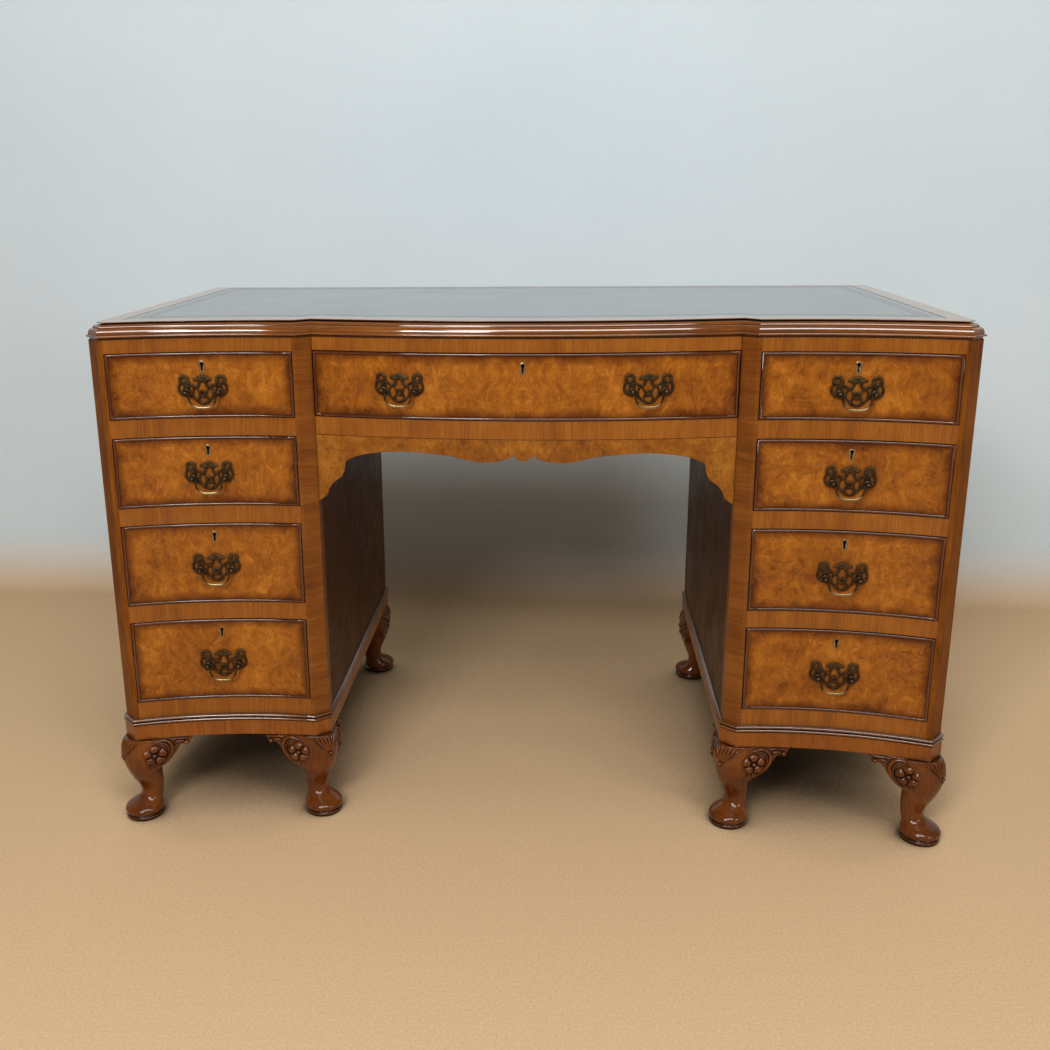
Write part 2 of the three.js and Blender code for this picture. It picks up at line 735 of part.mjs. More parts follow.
// One level of a cabriole leg about a corner of the body that points to -X and -Y
function legSection(middle, half, square, z) {
  return Array.from({ length: legSectionPoints }, (_, i) => {
    const turn = (2 * Math.PI * (i + 0.5)) / legSectionPoints;
    const c = Math.cos(turn);
    const s = Math.sin(turn);
    const radius = half / (Math.abs(c) ** square + Math.abs(s) ** square) ** (1 / square);
    return [middle + radius * c, middle + radius * s, z];
  });
}

function kneeBracket(lean) {
  const start = kneeInset;
  const outline = bracketOutlineShares.map(([x, z]) => (
    [start + x * bracketLength, legHeight - z * bracketHeight]
  ));
  const shear = new THREE.Matrix4().makeShear(lean, 0, 0, 0, 0, 0);
  const bracket = profile(outline.reverse(), bracketInset, bracketInset + bracketThickness);
  return bracket.translate(-start, 0, 0).applyMatrix4(shear).translate(start, 0, 0);
}

// The whole leg, with a bracket along each side of the corner
function cabrioleLeg(lean) {
  const pad = padLevelShares.map(({ height, inset, half, square }) => (
    legSection(padInset * inset, padRadius * half, square, padHeight * height)
  ));
  const shaftHeight = legHeight - padHeight;
  const shaft = shaftLevelShares.map(({ height, inset, half, square }) => (
    legSection(kneeInset * inset, kneeHalf * half, square, padHeight + shaftHeight * height)
  ));
  const sideBracket = flipped(welded(kneeBracket(0)), 1, -1).rotateZ(Math.PI / 2);
  return join([loftRings([...pad, ...shaft]), kneeBracket(lean), sideBracket]);
}

function buildLegs() {
  const tipX = -halfWidth + kneeInset + bracketLength;
  const startX = -halfWidth + cant;
  const frontLean = (faces.left.y(tipX) - faces.left.y(startX)) / (tipX - startX);
  const straightLeg = geometryOf(cabrioleLeg(0));
  const leaningLeg = geometryOf(cabrioleLeg(frontLean));
  for (const [side, sign] of [['left', 1], ['right', -1]]) {
    const places = [
      ['outer_front', -halfWidth, 0, 1, 1, leaningLeg],
      ['inner_front', -kneeholeHalf, innerCornerSetback, -1, 1, straightLeg],
      ['outer_rear', -halfWidth, bodyDepth, 1, -1, straightLeg],
      ['inner_rear', -kneeholeHalf, bodyDepth, -1, -1, straightLeg],
    ];
    for (const [place, x, y, turnX, turnY, geometry] of places) {
      const leg = flipped(geometry, turnX * sign, turnY).translate(x * sign, y, 0);
      addPiece(`${side}_${place}_leg`, leg, 'leg');
    }
  }
}

buildTop();
for (const [side, sign] of [['left', 1], ['right', -1]]) {
  buildPedestal(side, sign);
  buildPedestalDrawers(side, -sign);
}
buildCentre();
buildLegs();

export default desk;
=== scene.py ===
"""Kneehole writing desk: finished surfaces, fine mouldings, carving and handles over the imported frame.

Lengths are in millimetres until a piece is made. In plan, y counts back from the outer front
corners of the body, and place() turns such a point into the frame's metres.
"""

import json
import math
import random

import bmesh
import bpy
from mathutils import Matrix, Vector

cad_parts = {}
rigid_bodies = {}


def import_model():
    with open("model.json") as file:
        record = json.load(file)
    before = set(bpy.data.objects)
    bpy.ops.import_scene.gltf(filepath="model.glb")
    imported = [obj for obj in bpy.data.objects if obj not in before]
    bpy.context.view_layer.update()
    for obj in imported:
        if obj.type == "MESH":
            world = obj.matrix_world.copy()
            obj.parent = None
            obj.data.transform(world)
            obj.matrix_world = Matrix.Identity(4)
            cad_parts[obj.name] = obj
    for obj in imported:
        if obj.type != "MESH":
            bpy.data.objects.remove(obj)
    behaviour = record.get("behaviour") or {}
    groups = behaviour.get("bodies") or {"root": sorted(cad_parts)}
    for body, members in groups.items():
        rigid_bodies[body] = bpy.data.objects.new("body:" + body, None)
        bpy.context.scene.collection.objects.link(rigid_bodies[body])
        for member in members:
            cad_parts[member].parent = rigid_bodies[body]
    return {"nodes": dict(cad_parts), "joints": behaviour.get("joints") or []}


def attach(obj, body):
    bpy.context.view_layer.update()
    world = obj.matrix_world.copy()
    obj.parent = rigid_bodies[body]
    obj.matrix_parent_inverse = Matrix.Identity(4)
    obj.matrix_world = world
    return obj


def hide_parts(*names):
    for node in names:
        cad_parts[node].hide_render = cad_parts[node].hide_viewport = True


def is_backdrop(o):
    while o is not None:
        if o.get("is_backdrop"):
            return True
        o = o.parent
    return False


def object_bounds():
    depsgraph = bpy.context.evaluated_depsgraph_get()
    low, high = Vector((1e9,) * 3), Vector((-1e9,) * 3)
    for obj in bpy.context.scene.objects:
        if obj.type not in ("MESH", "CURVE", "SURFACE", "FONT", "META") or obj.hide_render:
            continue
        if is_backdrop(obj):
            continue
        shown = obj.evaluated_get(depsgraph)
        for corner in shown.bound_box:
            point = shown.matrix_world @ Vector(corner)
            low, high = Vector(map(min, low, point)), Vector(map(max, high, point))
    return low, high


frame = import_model()
cad_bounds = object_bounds()

MM = 0.001
ROOT = "carcass"

# Body and serpentine front
HALF_WIDTH = 616
BODY_DEPTH = 612
KNEEHOLE_HALF = 302
CANT = 20
INNER_CORNER_HALF = KNEEHOLE_HALF + CANT
INNER_CORNER_SETBACK = 31
CENTRE_SETBACK = 47
PEDESTAL_HOLLOW = 14
CENTRE_SWELL = 32
PEDESTAL_STEPS = 22
CENTRE_STEPS = 44

# Levels
DESK_HEIGHT = 776
CARCASS_TOP = 752
CARCASS_BASE = 171
PLINTH_BASE = 136
TOP_RAIL = 19
RAIL = 26.5
OPENING_HEIGHT_SHARES = (0.2095, 0.2303, 0.274, 0.2862)

# Face frame
OPENING_OUTER = HALF_WIDTH - 27
OPENING_INNER = KNEEHOLE_HALF + 25
RAIL_DEPTH = 22
OUTER_STILE_DEPTH = 40
INNER_STILE_BACK = CENTRE_SETBACK + 20
FRIEZE_HALF = KNEEHOLE_HALF - 0.4

# Drawer fronts
FRONT_GAP = 0.9
FRONT_THICKNESS = 20
BEAD_WIDTH = 3.6
BEAD_REACH = 2
KEYHOLE_BELOW_TOP = 20.5

# Top edge and leather
LIP_INSET = 12
LEATHER_SIDE = 28
LEATHER_FRONT = 32
LEATHER_BACK = 20
LEATHER_RECESS = 1.6


def place(point):
    """A point in body millimetres, in the frame's metres."""
    x, y, z = point
    return Vector((x, y - BODY_DEPTH / 2, z)) * MM


# Plan curves

class Face:
    """A circular arc in plan, bowed back by its rise; mirrored for the right-hand pedestal."""

    def __init__(self, start, end, rise, mirror=1):
        (x0, y0), (x1, y1) = start, end
        half = math.dist(start, end) / 2
        self.radius = (half * half + rise * rise) / (2 * rise)
        normal = Vector((-(y1 - y0), x1 - x0)).normalized()
        self.centre = Vector(((x0 + x1) / 2, (y0 + y1) / 2)) + normal * (rise - self.radius)
        self.sign = math.copysign(1, rise)
        self.mirror = mirror

    def root(self, x):
        return self.sign * math.sqrt(self.radius ** 2 - (x * self.mirror - self.centre.x) ** 2)

    def y(self, x):
        return self.centre.y + self.root(x)


OUTER_CORNER = (-(HALF_WIDTH - CANT), 0)
INNER_CORNER = (-INNER_CORNER_HALF, INNER_CORNER_SETBACK)
FACES = {
    "left": Face(OUTER_CORNER, INNER_CORNER, PEDESTAL_HOLLOW),
    "right": Face(OUTER_CORNER, INNER_CORNER, PEDESTAL_HOLLOW, mirror=-1),
    "centre": Face((-KNEEHOLE_HALF, CENTRE_SETBACK), (KNEEHOLE_HALF, CENTRE_SETBACK), -CENTRE_SWELL),
}


def spread(start, end, steps):
    """Evenly spaced values from start to end, both included."""
    return [start + (end - start) * i / steps for i in range(steps + 1)]


def circle(count):
    """Evenly spaced turns round a circle."""
    return spread(0, 2 * math.pi, count)[:-1]


def face_points(face, x0, x1, back, steps):
    return [(x, face.y(x) + back) for x in spread(x0, x1, steps)]


def mirrored(points):
    return [(-p[0], *p[1:]) for p in reversed(points)]


def pedestal_front():
    """Plan of the left pedestal's front, from the outer side to the kneehole."""
    arc = face_points(FACES["left"], OUTER_CORNER[0], INNER_CORNER[0], 0, PEDESTAL_STEPS)
    return [(-HALF_WIDTH, CANT), *arc, (-KNEEHOLE_HALF, CENTRE_SETBACK)]


def offset(outline, distance):
    """A closed anticlockwise outline moved outwards, with mitred corners."""
    moved = []
    for i, point in enumerate(outline):
        before, after = outline[i - 1], outline[(i + 1) % len(outline)]
        n1 = Vector((point[1] - before[1], before[0] - point[0])).normalized()
        n2 = Vector((after[1] - point[1], point[0] - after[0])).normalized()
        reach = distance / (1 + n1.dot(n2))
        moved.append((point[0] + (n1.x + n2.x) * reach, point[1] + (n1.y + n2.y) * reach))
    return moved


def at_height(outline, z):
    return [(x, y, z) for x, y in outline]


# Meshes

WELD = 0.01
LEAST_EDGE = 0.001
# Edges sharper than these angles in degrees stay crisp, on joinery and on cast or carved pieces
CRISP = 35
CAST_CRISP = 60


def running(points):
    """Distance along a line of points, starting at zero."""
    lengths = [0.0]
    for a, b in zip(points, points[1:]):
        lengths.append(lengths[-1] + math.dist(a, b))
    return lengths


def heading(line, i):
    """The direction of a line at one of its points, by its first two coordinates."""
    before, after = line[max(i - 1, 0)], line[min(i + 1, len(line) - 1)]
    return Vector((after[0] - before[0], after[1] - before[1])).normalized()


class Piece:
    """Collects the faces of one piece, with grain coordinates in metres and a material number for each."""

    def __init__(self, name):
        self.name = name
        self.points, self.faces, self.grain, self.slots = [], [], [], []
        shift = random.Random(name)
        self.shift = Vector((shift.uniform(0, 9), shift.uniform(0, 9)))

    def add(self, corners, grain, slot):
        start = len(self.points)
        self.points += corners
        self.faces.append(list(range(start, start + len(corners))))
        self.grain.append([Vector(g) * MM + self.shift for g in grain])
        self.slots.append(slot)

    def strip(self, rows, slot=0, closed=False, planar=False):
        """Quads between equal rows of points: grain runs along the rows, then across them."""
        if closed:
            rows = [[*row, row[0]] for row in rows]
        along = running(rows[len(rows) // 2])
        across = running([row[len(row) // 2] for row in rows])
        for i in range(len(rows) - 1):
            for j in range(len(rows[0]) - 1):
                at = ((i, j), (i, j + 1), (i + 1, j + 1), (i + 1, j))
                corners = [rows[r][c] for r, c in at]
                if planar:
                    grain = [(p[0], p[2]) for p in corners]
                else:
                    grain = [(along[c], across[r]) for r, c in at]
                self.add(corners, grain, slot)

    def cap(self, outline, slot=0, turned=False):
        """One flat face, with grain across its plan or, turned, up its front."""
        grain = [(p[0], p[2]) if turned else (p[1], p[0]) for p in outline]
        self.add(list(outline), grain, slot)

    def tube(self, rings, slot=0):
        """A closed skin over rings of points, with a flat face at each end."""
        self.strip(rings, slot, closed=True)
        self.cap(rings[0], slot)
        self.cap(rings[-1], slot)

    def board(self, x0, x1, y0, y1, z0, z1, slot=0):
        outline = [(x0, y0), (x1, y0), (x1, y1), (x0, y1)]
        self.prism(outline, z0, z1, slot)

    def prism(self, outline, z0, z1, slot=0):
        """A plan outline carried up between two heights."""
        self.tube([at_height(outline, z0), at_height(outline, z1)], slot)

    def make(self, materials, body=ROOT, crisp=CRISP, centred=True):
        """The finished piece, placed in the frame or, not centred, left about its own axes."""
        mesh = bpy.data.meshes.new(self.name)
        spots = [place(p) if centred else Vector(p) * MM for p in self.points]
        mesh.from_pydata(spots, [], self.faces)
        layer = mesh.uv_layers.new(name="Grain")
        for polygon, grain, slot in zip(mesh.polygons, self.grain, self.slots):
            polygon.material_index = slot
            for loop, value in zip(polygon.loop_indices, grain):
                layer.data[loop].uv = value
        for material in materials:
            mesh.materials.append(material)
        tidy_mesh(mesh, crisp)
        return add_object(self.name, mesh, body)




def tidy_mesh(mesh, crisp):
    """Merges doubled points, turns faces outwards and keeps edges sharper than crisp degrees."""
    work = bmesh.new()
    work.from_mesh(mesh)
    bmesh.ops.remove_doubles(work, verts=work.verts, dist=WELD * MM)
    bmesh.ops.dissolve_degenerate(work, edges=work.edges, dist=LEAST_EDGE * MM)
    bmesh.ops.recalc_face_normals(work, faces=work.faces)
    work.to_mesh(mesh)
    work.free()
    sharpen(mesh, crisp)


def sharpen(mesh, crisp):
    mesh.shade_smooth()
    mesh.set_sharp_from_angle(angle=math.radians(crisp))


def add_object(name, mesh, body=ROOT):
    piece = bpy.data.objects.new(name, mesh)
    bpy.context.scene.collection.objects.link(piece)
    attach(piece, body)
    return piece


def soften(piece, width):
    """A small bevel that catches the light along sharp edges."""
    bevel = piece.modifiers.new("Edges", "BEVEL")
    bevel.width = width * MM
    bevel.segments = 2
    bevel.limit_method = "ANGLE"
    bevel.angle_limit = math.radians(40)
    bevel.harden_normals = False
    return piece


def baked(piece):
    """Applies a piece's modifiers."""
    graph = bpy.context.evaluated_depsgraph_get()
    mesh = bpy.data.meshes.new_from_object(piece.evaluated_get(graph), depsgraph=graph)
    piece.modifiers.clear()
    piece.data = mesh
    return piece


def mesh_alone(piece):
    """A piece's mesh, once its object is gone."""
    mesh = piece.data
    bpy.data.objects.remove(piece)
    return mesh


def merged(name, meshes):
    work = bmesh.new()
    for mesh in meshes:
        work.from_mesh(mesh)
    made = bpy.data.meshes.new(name)
    work.to_mesh(made)
    work.free()
    return made


def paint_edge(mesh, value_at):
    """Stores one value for each point in the map that the materials read as wear or nearness to an edge."""
    layer = mesh.uv_layers.get("Edge") or mesh.uv_layers.new(name="Edge")
    for loop in mesh.loops:
        layer.data[loop.index].uv = (value_at(mesh.vertices[loop.vertex_index].co), 0)


# Materials

class Graph:
    """A material's nodes, with short calls for the ones used here."""

    def __init__(self, name):
        self.material = bpy.data.materials.new(name)
        self.material.use_nodes = True
        self.tree = self.material.node_tree
        self.tree.nodes.clear()

    def node(self, kind, inputs=(), **settings):
        made = self.tree.nodes.new(f"ShaderNode{kind}")
        for key, value in settings.items():
            setattr(made, key, value)
        for key, value in dict(inputs).items():
            self.feed(made.inputs[key], value)
        return made

    def feed(self, socket, value):
        if isinstance(value, bpy.types.NodeSocket):
            self.tree.links.new(value, socket)
        else:
            socket.default_value = value

    def grain(self):
        return self.node("UVMap", uv_map="Grain").outputs[0]

    def edge(self):
        """The value that paint_edge stored: nearness to an edge, a tooled line or wear."""
        return self.node("SeparateXYZ", {0: self.node("UVMap", uv_map="Edge").outputs[0]}).outputs[0]

    def local(self):
        return self.node("TexCoord").outputs["Object"]

    def scaled(self, vector, scale, turn=(0, 0, 0)):
        return self.node("Mapping", {"Vector": vector, "Scale": scale, "Rotation": turn}).outputs[0]

    def noise(self, vector, scale, detail=4, roughness=0.5, distortion=0, out="Fac"):
        inputs = {"Vector": vector, "Scale": scale, "Detail": detail, "Roughness": roughness}
        return self.node("TexNoise", {**inputs, "Distortion": distortion}).outputs[out]

    def cells(self, vector, scale):
        return self.node("TexVoronoi", {"Vector": vector, "Scale": scale}).outputs["Distance"]

    def crevices(self, reach):
        """0 in narrow corners, 1 on open surfaces."""
        return self.node("AmbientOcclusion", {"Distance": reach}, samples=6).outputs["AO"]

    def shaded_and_soiled(self, colour, shade_and_dirt, reach, low, high, most):
        """A colour, darker in its crevices where the openness lies between low and high: painted shade in
        the wood's corners and carving, dirt in the bronze's recesses.
        """
        return self.mix(self.ranged(self.crevices(reach), low, high, most, 0), colour, shade_and_dirt)

    def maths(self, operation, a, b):
        return self.node("Math", {0: a, 1: b}, operation=operation).outputs[0]

    def times(self, a, b):
        return self.maths("MULTIPLY", a, b)

    def weighted(self, *pairs):
        """The sum of several values, each times its weight."""
        total, *others = [self.times(value, weight) for value, weight in pairs]
        for other in others:
            total = self.maths("ADD", total, other)
        return total

    def ranged(self, value, low, high, to_low=0.0, to_high=1.0):
        inputs = {"Value": value, "From Min": low, "From Max": high, "To Min": to_low, "To Max": to_high}
        return self.node("MapRange", inputs, clamp=True).outputs[0]

    def vectors(self, operation, inputs):
        return self.node("VectorMath", inputs, operation=operation).outputs[0]

    def shift(self, vector, by, amount):
        """A place moved by a noise's colour, counted from its middle grey."""
        centred = self.vectors("SUBTRACT", {0: by, 1: (0.5, 0.5, 0.5)})
        return self.vectors("ADD", {0: vector, 1: self.vectors("SCALE", {0: centred, "Scale": amount})})

    def ramp(self, value, stops):
        made = self.node("ValToRGB", {"Fac": value})
        elements = made.color_ramp.elements
        while len(elements) < len(stops):
            elements.new(0.5)
        for element, (position, colour) in zip(elements, stops):
            element.position = position
            element.color = (*colour, 1)
        return made.outputs["Color"]

    def mix(self, factor, a, b, blend="MIX"):
        made = self.node("Mix", data_type="RGBA", blend_type=blend)
        colours = [s for s in made.inputs if s.type == "RGBA"]
        self.feed(made.inputs["Factor"], factor)
        for socket, value in zip(colours, (a, b)):
            self.feed(socket, (*value, 1) if isinstance(value, tuple) else value)
        return next(s for s in made.outputs if s.type == "RGBA")

    def bump(self, height, strength, distance, below=None):
        inputs = {"Height": height, "Strength": strength, "Distance": distance}
        if below is not None:
            inputs["Normal"] = below
        return self.node("Bump", inputs).outputs["Normal"]

    def shade(self, **inputs):
        names = {key.replace("_", " "): value for key, value in inputs.items()}
        shader = self.node("BsdfPrincipled", names)
        self.node("OutputMaterial", {"Surface": shader.outputs[0]})
        return self.material


def darker(colour, share):
    return tuple(part * share for part in colour)


def polish(g, vector, low, high):
    """Roughness of a hand-polished surface: clouded, with faint smears."""
    clouds = g.noise(vector, 14, 5, 0.6)
    smears = g.noise(g.scaled(vector, (1, 0.15, 1), (0, 0, 0.6)), 120, 3, 0.6)
    return g.ranged(g.weighted((clouds, 0.65), (smears, 0.35)), 0.35, 0.65, low, high)


# Scales that draw the grain out along the first or the second grain coordinate
ALONG_U = (0.035, 1, 1)
ALONG_V = (1, 0.035, 1)


def straight_grain(name, tones, vector_of=Graph.grain, along=ALONG_V, gloss=(0.24, 0.42), shade_and_dirt=0.012,
                   ripple=0.25, haze=0.2, coat=0.2, coat_ior=1.5, coat_blur=0.07):
    """Walnut cut with straight grain: broad bands, fine streaks and pores along one direction, with painted
    shade in its crevices.
    """
    g = Graph(name)
    vector = vector_of(g)
    wander = g.noise(vector, 9, 2, out="Color")
    path = g.scaled(g.shift(vector, wander, 0.012), along)
    bands = g.noise(path, 55, 3, 0.55)
    streaks = g.noise(path, 420, 5, 0.65)
    clouds = g.noise(vector, 11, 4, 0.55)
    tone = g.weighted((bands, 0.26), (streaks, 0.44), (clouds, 0.3))
    dark, mid, light = tones
    colour = g.ramp(tone, [(0.36, dark), (0.5, mid), (0.64, light)])
    pores = g.ranged(g.noise(path, 1500, 3, 0.7), 0.56, 0.7)
    colour = g.mix(g.times(pores, 0.45), colour, darker(dark, 0.45))
    # Painted shade: the colour falls towards a near-black copy of the dark tone in corners and narrow
    # crevices
    colour = g.shaded_and_soiled(colour, darker(dark, 0.15), shade_and_dirt, 0.35, 0.95, 0.9)
    waves = g.bump(g.noise(vector, 45, 2), ripple, 0.0006)
    normal = g.bump(g.times(pores, -1), 0.12, 0.0002, waves)
    return g.shade(
        Base_Color=colour, Roughness=polish(g, vector, *gloss), Normal=normal, Specular_IOR_Level=haze,
        Coat_Weight=coat, Coat_Roughness=coat_blur, Coat_IOR=coat_ior,
    )


BURR_TONES = ((0.118, 0.030, 0.004), (0.220, 0.064, 0.006), (0.305, 0.095, 0.008), (0.420, 0.150, 0.016))
BURR_RING = (0.50, 0.19, 0.026)
BURR_PIP = (0.12, 0.030, 0.005)
BURR_SPECK = (0.10, 0.028, 0.006)
BURR_HAIR = (0.11, 0.028, 0.004)
BURR_EDGE_SHADE = (0.32, 0.21, 0.16)
BURR_CREVICE_SHADE = (0.022, 0.007, 0.003)


def burr(name, bookmatch=False, shaded_edges=True, tint=(1, 1, 1)):
    """Burr walnut veneer: mottled golden figure with clusters of small eyes, with painted shade darkening it
    towards the beads and in its crevices.
    """
    g = Graph(name)
    vector = g.vectors("ABSOLUTE", {0: g.local()}) if bookmatch else g.local()
    flat = g.scaled(vector, (1, 0.35, 1))
    swirl = g.shift(flat, g.noise(flat, 16, 3, 0.55, out="Color"), 0.05)
    curl = g.shift(swirl, g.noise(swirl, 60, 3, 0.6, out="Color"), 0.012)
    figure = g.noise(g.scaled(curl, (1, 1, 0.75)), 70, 7, 0.62, 0.5)
    fibres = g.noise(g.scaled(curl, (1, 1, 0.16)), 330, 5, 0.7)
    tone = g.weighted((figure, 0.4), (fibres, 0.3), (g.noise(swirl, 11, 3), 0.3))
    colour = g.ramp(tone, list(zip((0.37, 0.45, 0.53, 0.61), BURR_TONES)))
    eyes = g.cells(curl, 190)
    cluster = g.ranged(g.noise(flat, 15, 3, 0.6), 0.5, 0.62)
    rings = g.times(g.ranged(eyes, 0.2, 0.34), g.ranged(eyes, 0.34, 0.55, 1, 0))
    pips = g.times(g.ranged(eyes, 0.1, 0.24, 1, 0), cluster)
    specks = g.ranged(g.noise(curl, 900, 2, 0.6), 0.6, 0.72)
    hairs = g.ranged(g.noise(g.scaled(swirl, (0.05, 1, 1)), 170, 2), 0.66, 0.74)
    marks = (
        (g.times(rings, cluster), 0.28, BURR_RING), (pips, 0.6, BURR_PIP),
        (specks, 0.3, BURR_SPECK), (hairs, 0.35, BURR_HAIR),
    )
    for mask, strength, mark in marks:
        colour = g.mix(g.times(mask, strength), colour, mark)
    colour = g.mix(1.0, colour, tint, "MULTIPLY")
    if shaded_edges:
        # Painted shade: the veneer darkens towards the beads round a drawer front
        uneven = g.maths("ADD", g.edge(), g.ranged(g.noise(flat, 22, 3, 0.6), 0.3, 0.7, -0.12, 0.12))
        shade = g.ranged(uneven, -0.03, 0.5, 0.97, 0)
        colour = g.mix(shade, colour, g.mix(1.0, colour, BURR_EDGE_SHADE, "MULTIPLY"))
    # Painted shade: near black in the corners and narrow crevices
    colour = g.shaded_and_soiled(colour, BURR_CREVICE_SHADE, 0.01, 0.4, 0.95, 0.85)
    normal = g.bump(g.noise(vector, 38, 3, 0.55), 0.22, 0.0008)
    return g.shade(
        Base_Color=colour, Roughness=polish(g, vector, 0.26, 0.44), Normal=normal, Specular_IOR_Level=0.16,
        Coat_Weight=0.15, Coat_Roughness=0.09,
    )


def object_grain(axis):
    """Coordinates whose second direction runs along one axis of the frame."""
    def vector(g):
        parts = g.node("SeparateXYZ", {0: g.local()}).outputs
        order = {"x": (1, 0, 2), "y": (0, 1, 2), "z": (0, 2, 1)}[axis]
        return g.node("CombineXYZ", {i: parts[k] for i, k in enumerate(order)}).outputs[0]
    return vector


LEATHER_TONES = ((0.35, (0.030, 0.034, 0.032)), (0.6, (0.060, 0.066, 0.061)))
TOOLED_TONE = (0.003, 0.004, 0.004)


def leather_material():
    """Dark hide, lightly mottled and grained, darker in the tooled lines."""
    g = Graph("Leather")
    vector = g.local()
    tooled = g.edge()
    colour = g.mix(tooled, g.ramp(g.noise(vector, 9, 6, 0.62), LEATHER_TONES), TOOLED_TONE)
    pebbles = g.cells(g.shift(vector, g.noise(vector, 300, 2, out="Color"), 0.0012), 900)
    creases = g.noise(vector, 160, 4, 0.6)
    worn = g.ranged(g.noise(vector, 5, 5, 0.6), 0.3, 0.7, 0.3, 0.36)
    return g.shade(
        Base_Color=colour, Roughness=g.maths("ADD", worn, g.times(tooled, 0.5)),
        Normal=g.bump(g.weighted((pebbles, 0.6), (creases, 0.4)), 0.1, 0.0002),
        Specular_IOR_Level=0.8, Coat_Weight=1, Coat_Roughness=0.2,
    )


PATINA = ((0.3, (0.018, 0.010, 0.006)), (0.5, (0.045, 0.027, 0.014)), (0.7, (0.10, 0.062, 0.028)))
RUBBED_BRASS = (0.42, 0.31, 0.15)
BRASS_DIRT = (0.012, 0.008, 0.005)


def bronze_material():
    """Dark bronzed brass: brown patina, dull in the recesses and rubbed bright where it is touched."""
    g = Graph("Bronze")
    vector = g.local()
    stain = g.noise(vector, 260, 5, 0.65)
    patchy = g.times(g.edge(), g.ranged(stain, 0.3, 0.62, 0.55, 1))
    colour = g.mix(patchy, g.ramp(stain, PATINA), RUBBED_BRASS)
    colour = g.shaded_and_soiled(colour, BRASS_DIRT, 0.003, 0.3, 0.9, 0.8)
    rough = g.maths("SUBTRACT", g.ranged(stain, 0.3, 0.7, 0.34, 0.5), g.times(patchy, 0.14))
    normal = g.bump(g.noise(vector, 700, 3, 0.6), 0.2, 0.0002)
    return g.shade(Base_Color=colour, Metallic=0.92, Roughness=rough, Normal=normal)


CARVED_TONES = ((0.36, (0.072, 0.018, 0.003)), (0.5, (0.122, 0.032, 0.005)), (0.64, (0.180, 0.052, 0.007)))
WAX_AND_SHADE = (0.010, 0.003, 0.002)


def carved_material():
    """Reddish polished walnut, near black in the carving's recesses: dark wax and painted shade."""
    g = Graph("CarvedWalnut")
    vector = object_grain("z")(g)
    wander = g.noise(vector, 14, 3, out="Color")
    streaks = g.noise(g.scaled(g.shift(vector, wander, 0.02), (1, 0.09, 1)), 190, 5, 0.6)
    tone = g.weighted((streaks, 0.35), (g.noise(vector, 16, 3), 0.65))
    # Dark wax and painted shade: the colour falls almost to black in the carving's recesses
    colour = g.shaded_and_soiled(g.ramp(tone, CARVED_TONES), WAX_AND_SHADE, 0.01, 0.52, 0.98, 0.98)
    normal = g.bump(g.noise(vector, 45, 2), 0.1, 0.0005)
    return g.shade(
        Base_Color=colour, Roughness=polish(g, vector, 0.26, 0.4), Normal=normal, Specular_IOR_Level=0.02,
        Coat_Weight=0.75, Coat_Roughness=0.13,
    )


def shadow_material():
    """Painted shadow: a near-black colour for the inside of a keyhole and for the quirk under the top's lip.
    """
    g = Graph("PaintedShadow")
    tones = ((0.3, (0.004, 0.003, 0.002)), (0.7, (0.012, 0.009, 0.006)))
    return g.shade(Base_Color=g.ramp(g.noise(g.local(), 500, 3, 0.6), tones), Roughness=0.8)


RAIL_TONES = ((0.165, 0.046, 0.006), (0.255, 0.080, 0.009), (0.34, 0.118, 0.015))
STILE_TONES = ((0.110, 0.028, 0.004), (0.185, 0.055, 0.007), (0.26, 0.087, 0.012))
CORNER_TONES = ((0.085, 0.023, 0.003), (0.175, 0.052, 0.007), (0.27, 0.090, 0.012))
BORDER_TONES = ((0.245, 0.091, 0.023), (0.38, 0.155, 0.044), (0.51, 0.225, 0.072))
MOULD_TONES = ((0.092, 0.024, 0.003), (0.175, 0.050, 0.004), (0.28, 0.090, 0.008))
PLINTH_TONES = ((0.070, 0.020, 0.004), (0.125, 0.037, 0.006), (0.19, 0.062, 0.010))
FOOT_TONES = ((0.140, 0.036, 0.005), (0.225, 0.064, 0.008), (0.31, 0.098, 0.013))
BEAD_TONES = ((0.040, 0.009, 0.003), (0.078, 0.019, 0.004), (0.13, 0.034, 0.006))
# The sides' tones are dark walnut with painted shade: as dark as the kneehole's shaded sides look
SHADED_SIDE_TONES = ((0.030, 0.009, 0.002), (0.059, 0.018, 0.003), (0.094, 0.031, 0.005))
BACK_TONES = ((0.12, 0.055, 0.022), (0.20, 0.10, 0.042), (0.28, 0.15, 0.07))
OAK_TONES = ((0.25, 0.14, 0.062), (0.40, 0.25, 0.125), (0.52, 0.35, 0.19))
SATIN = (0.5, 0.7)

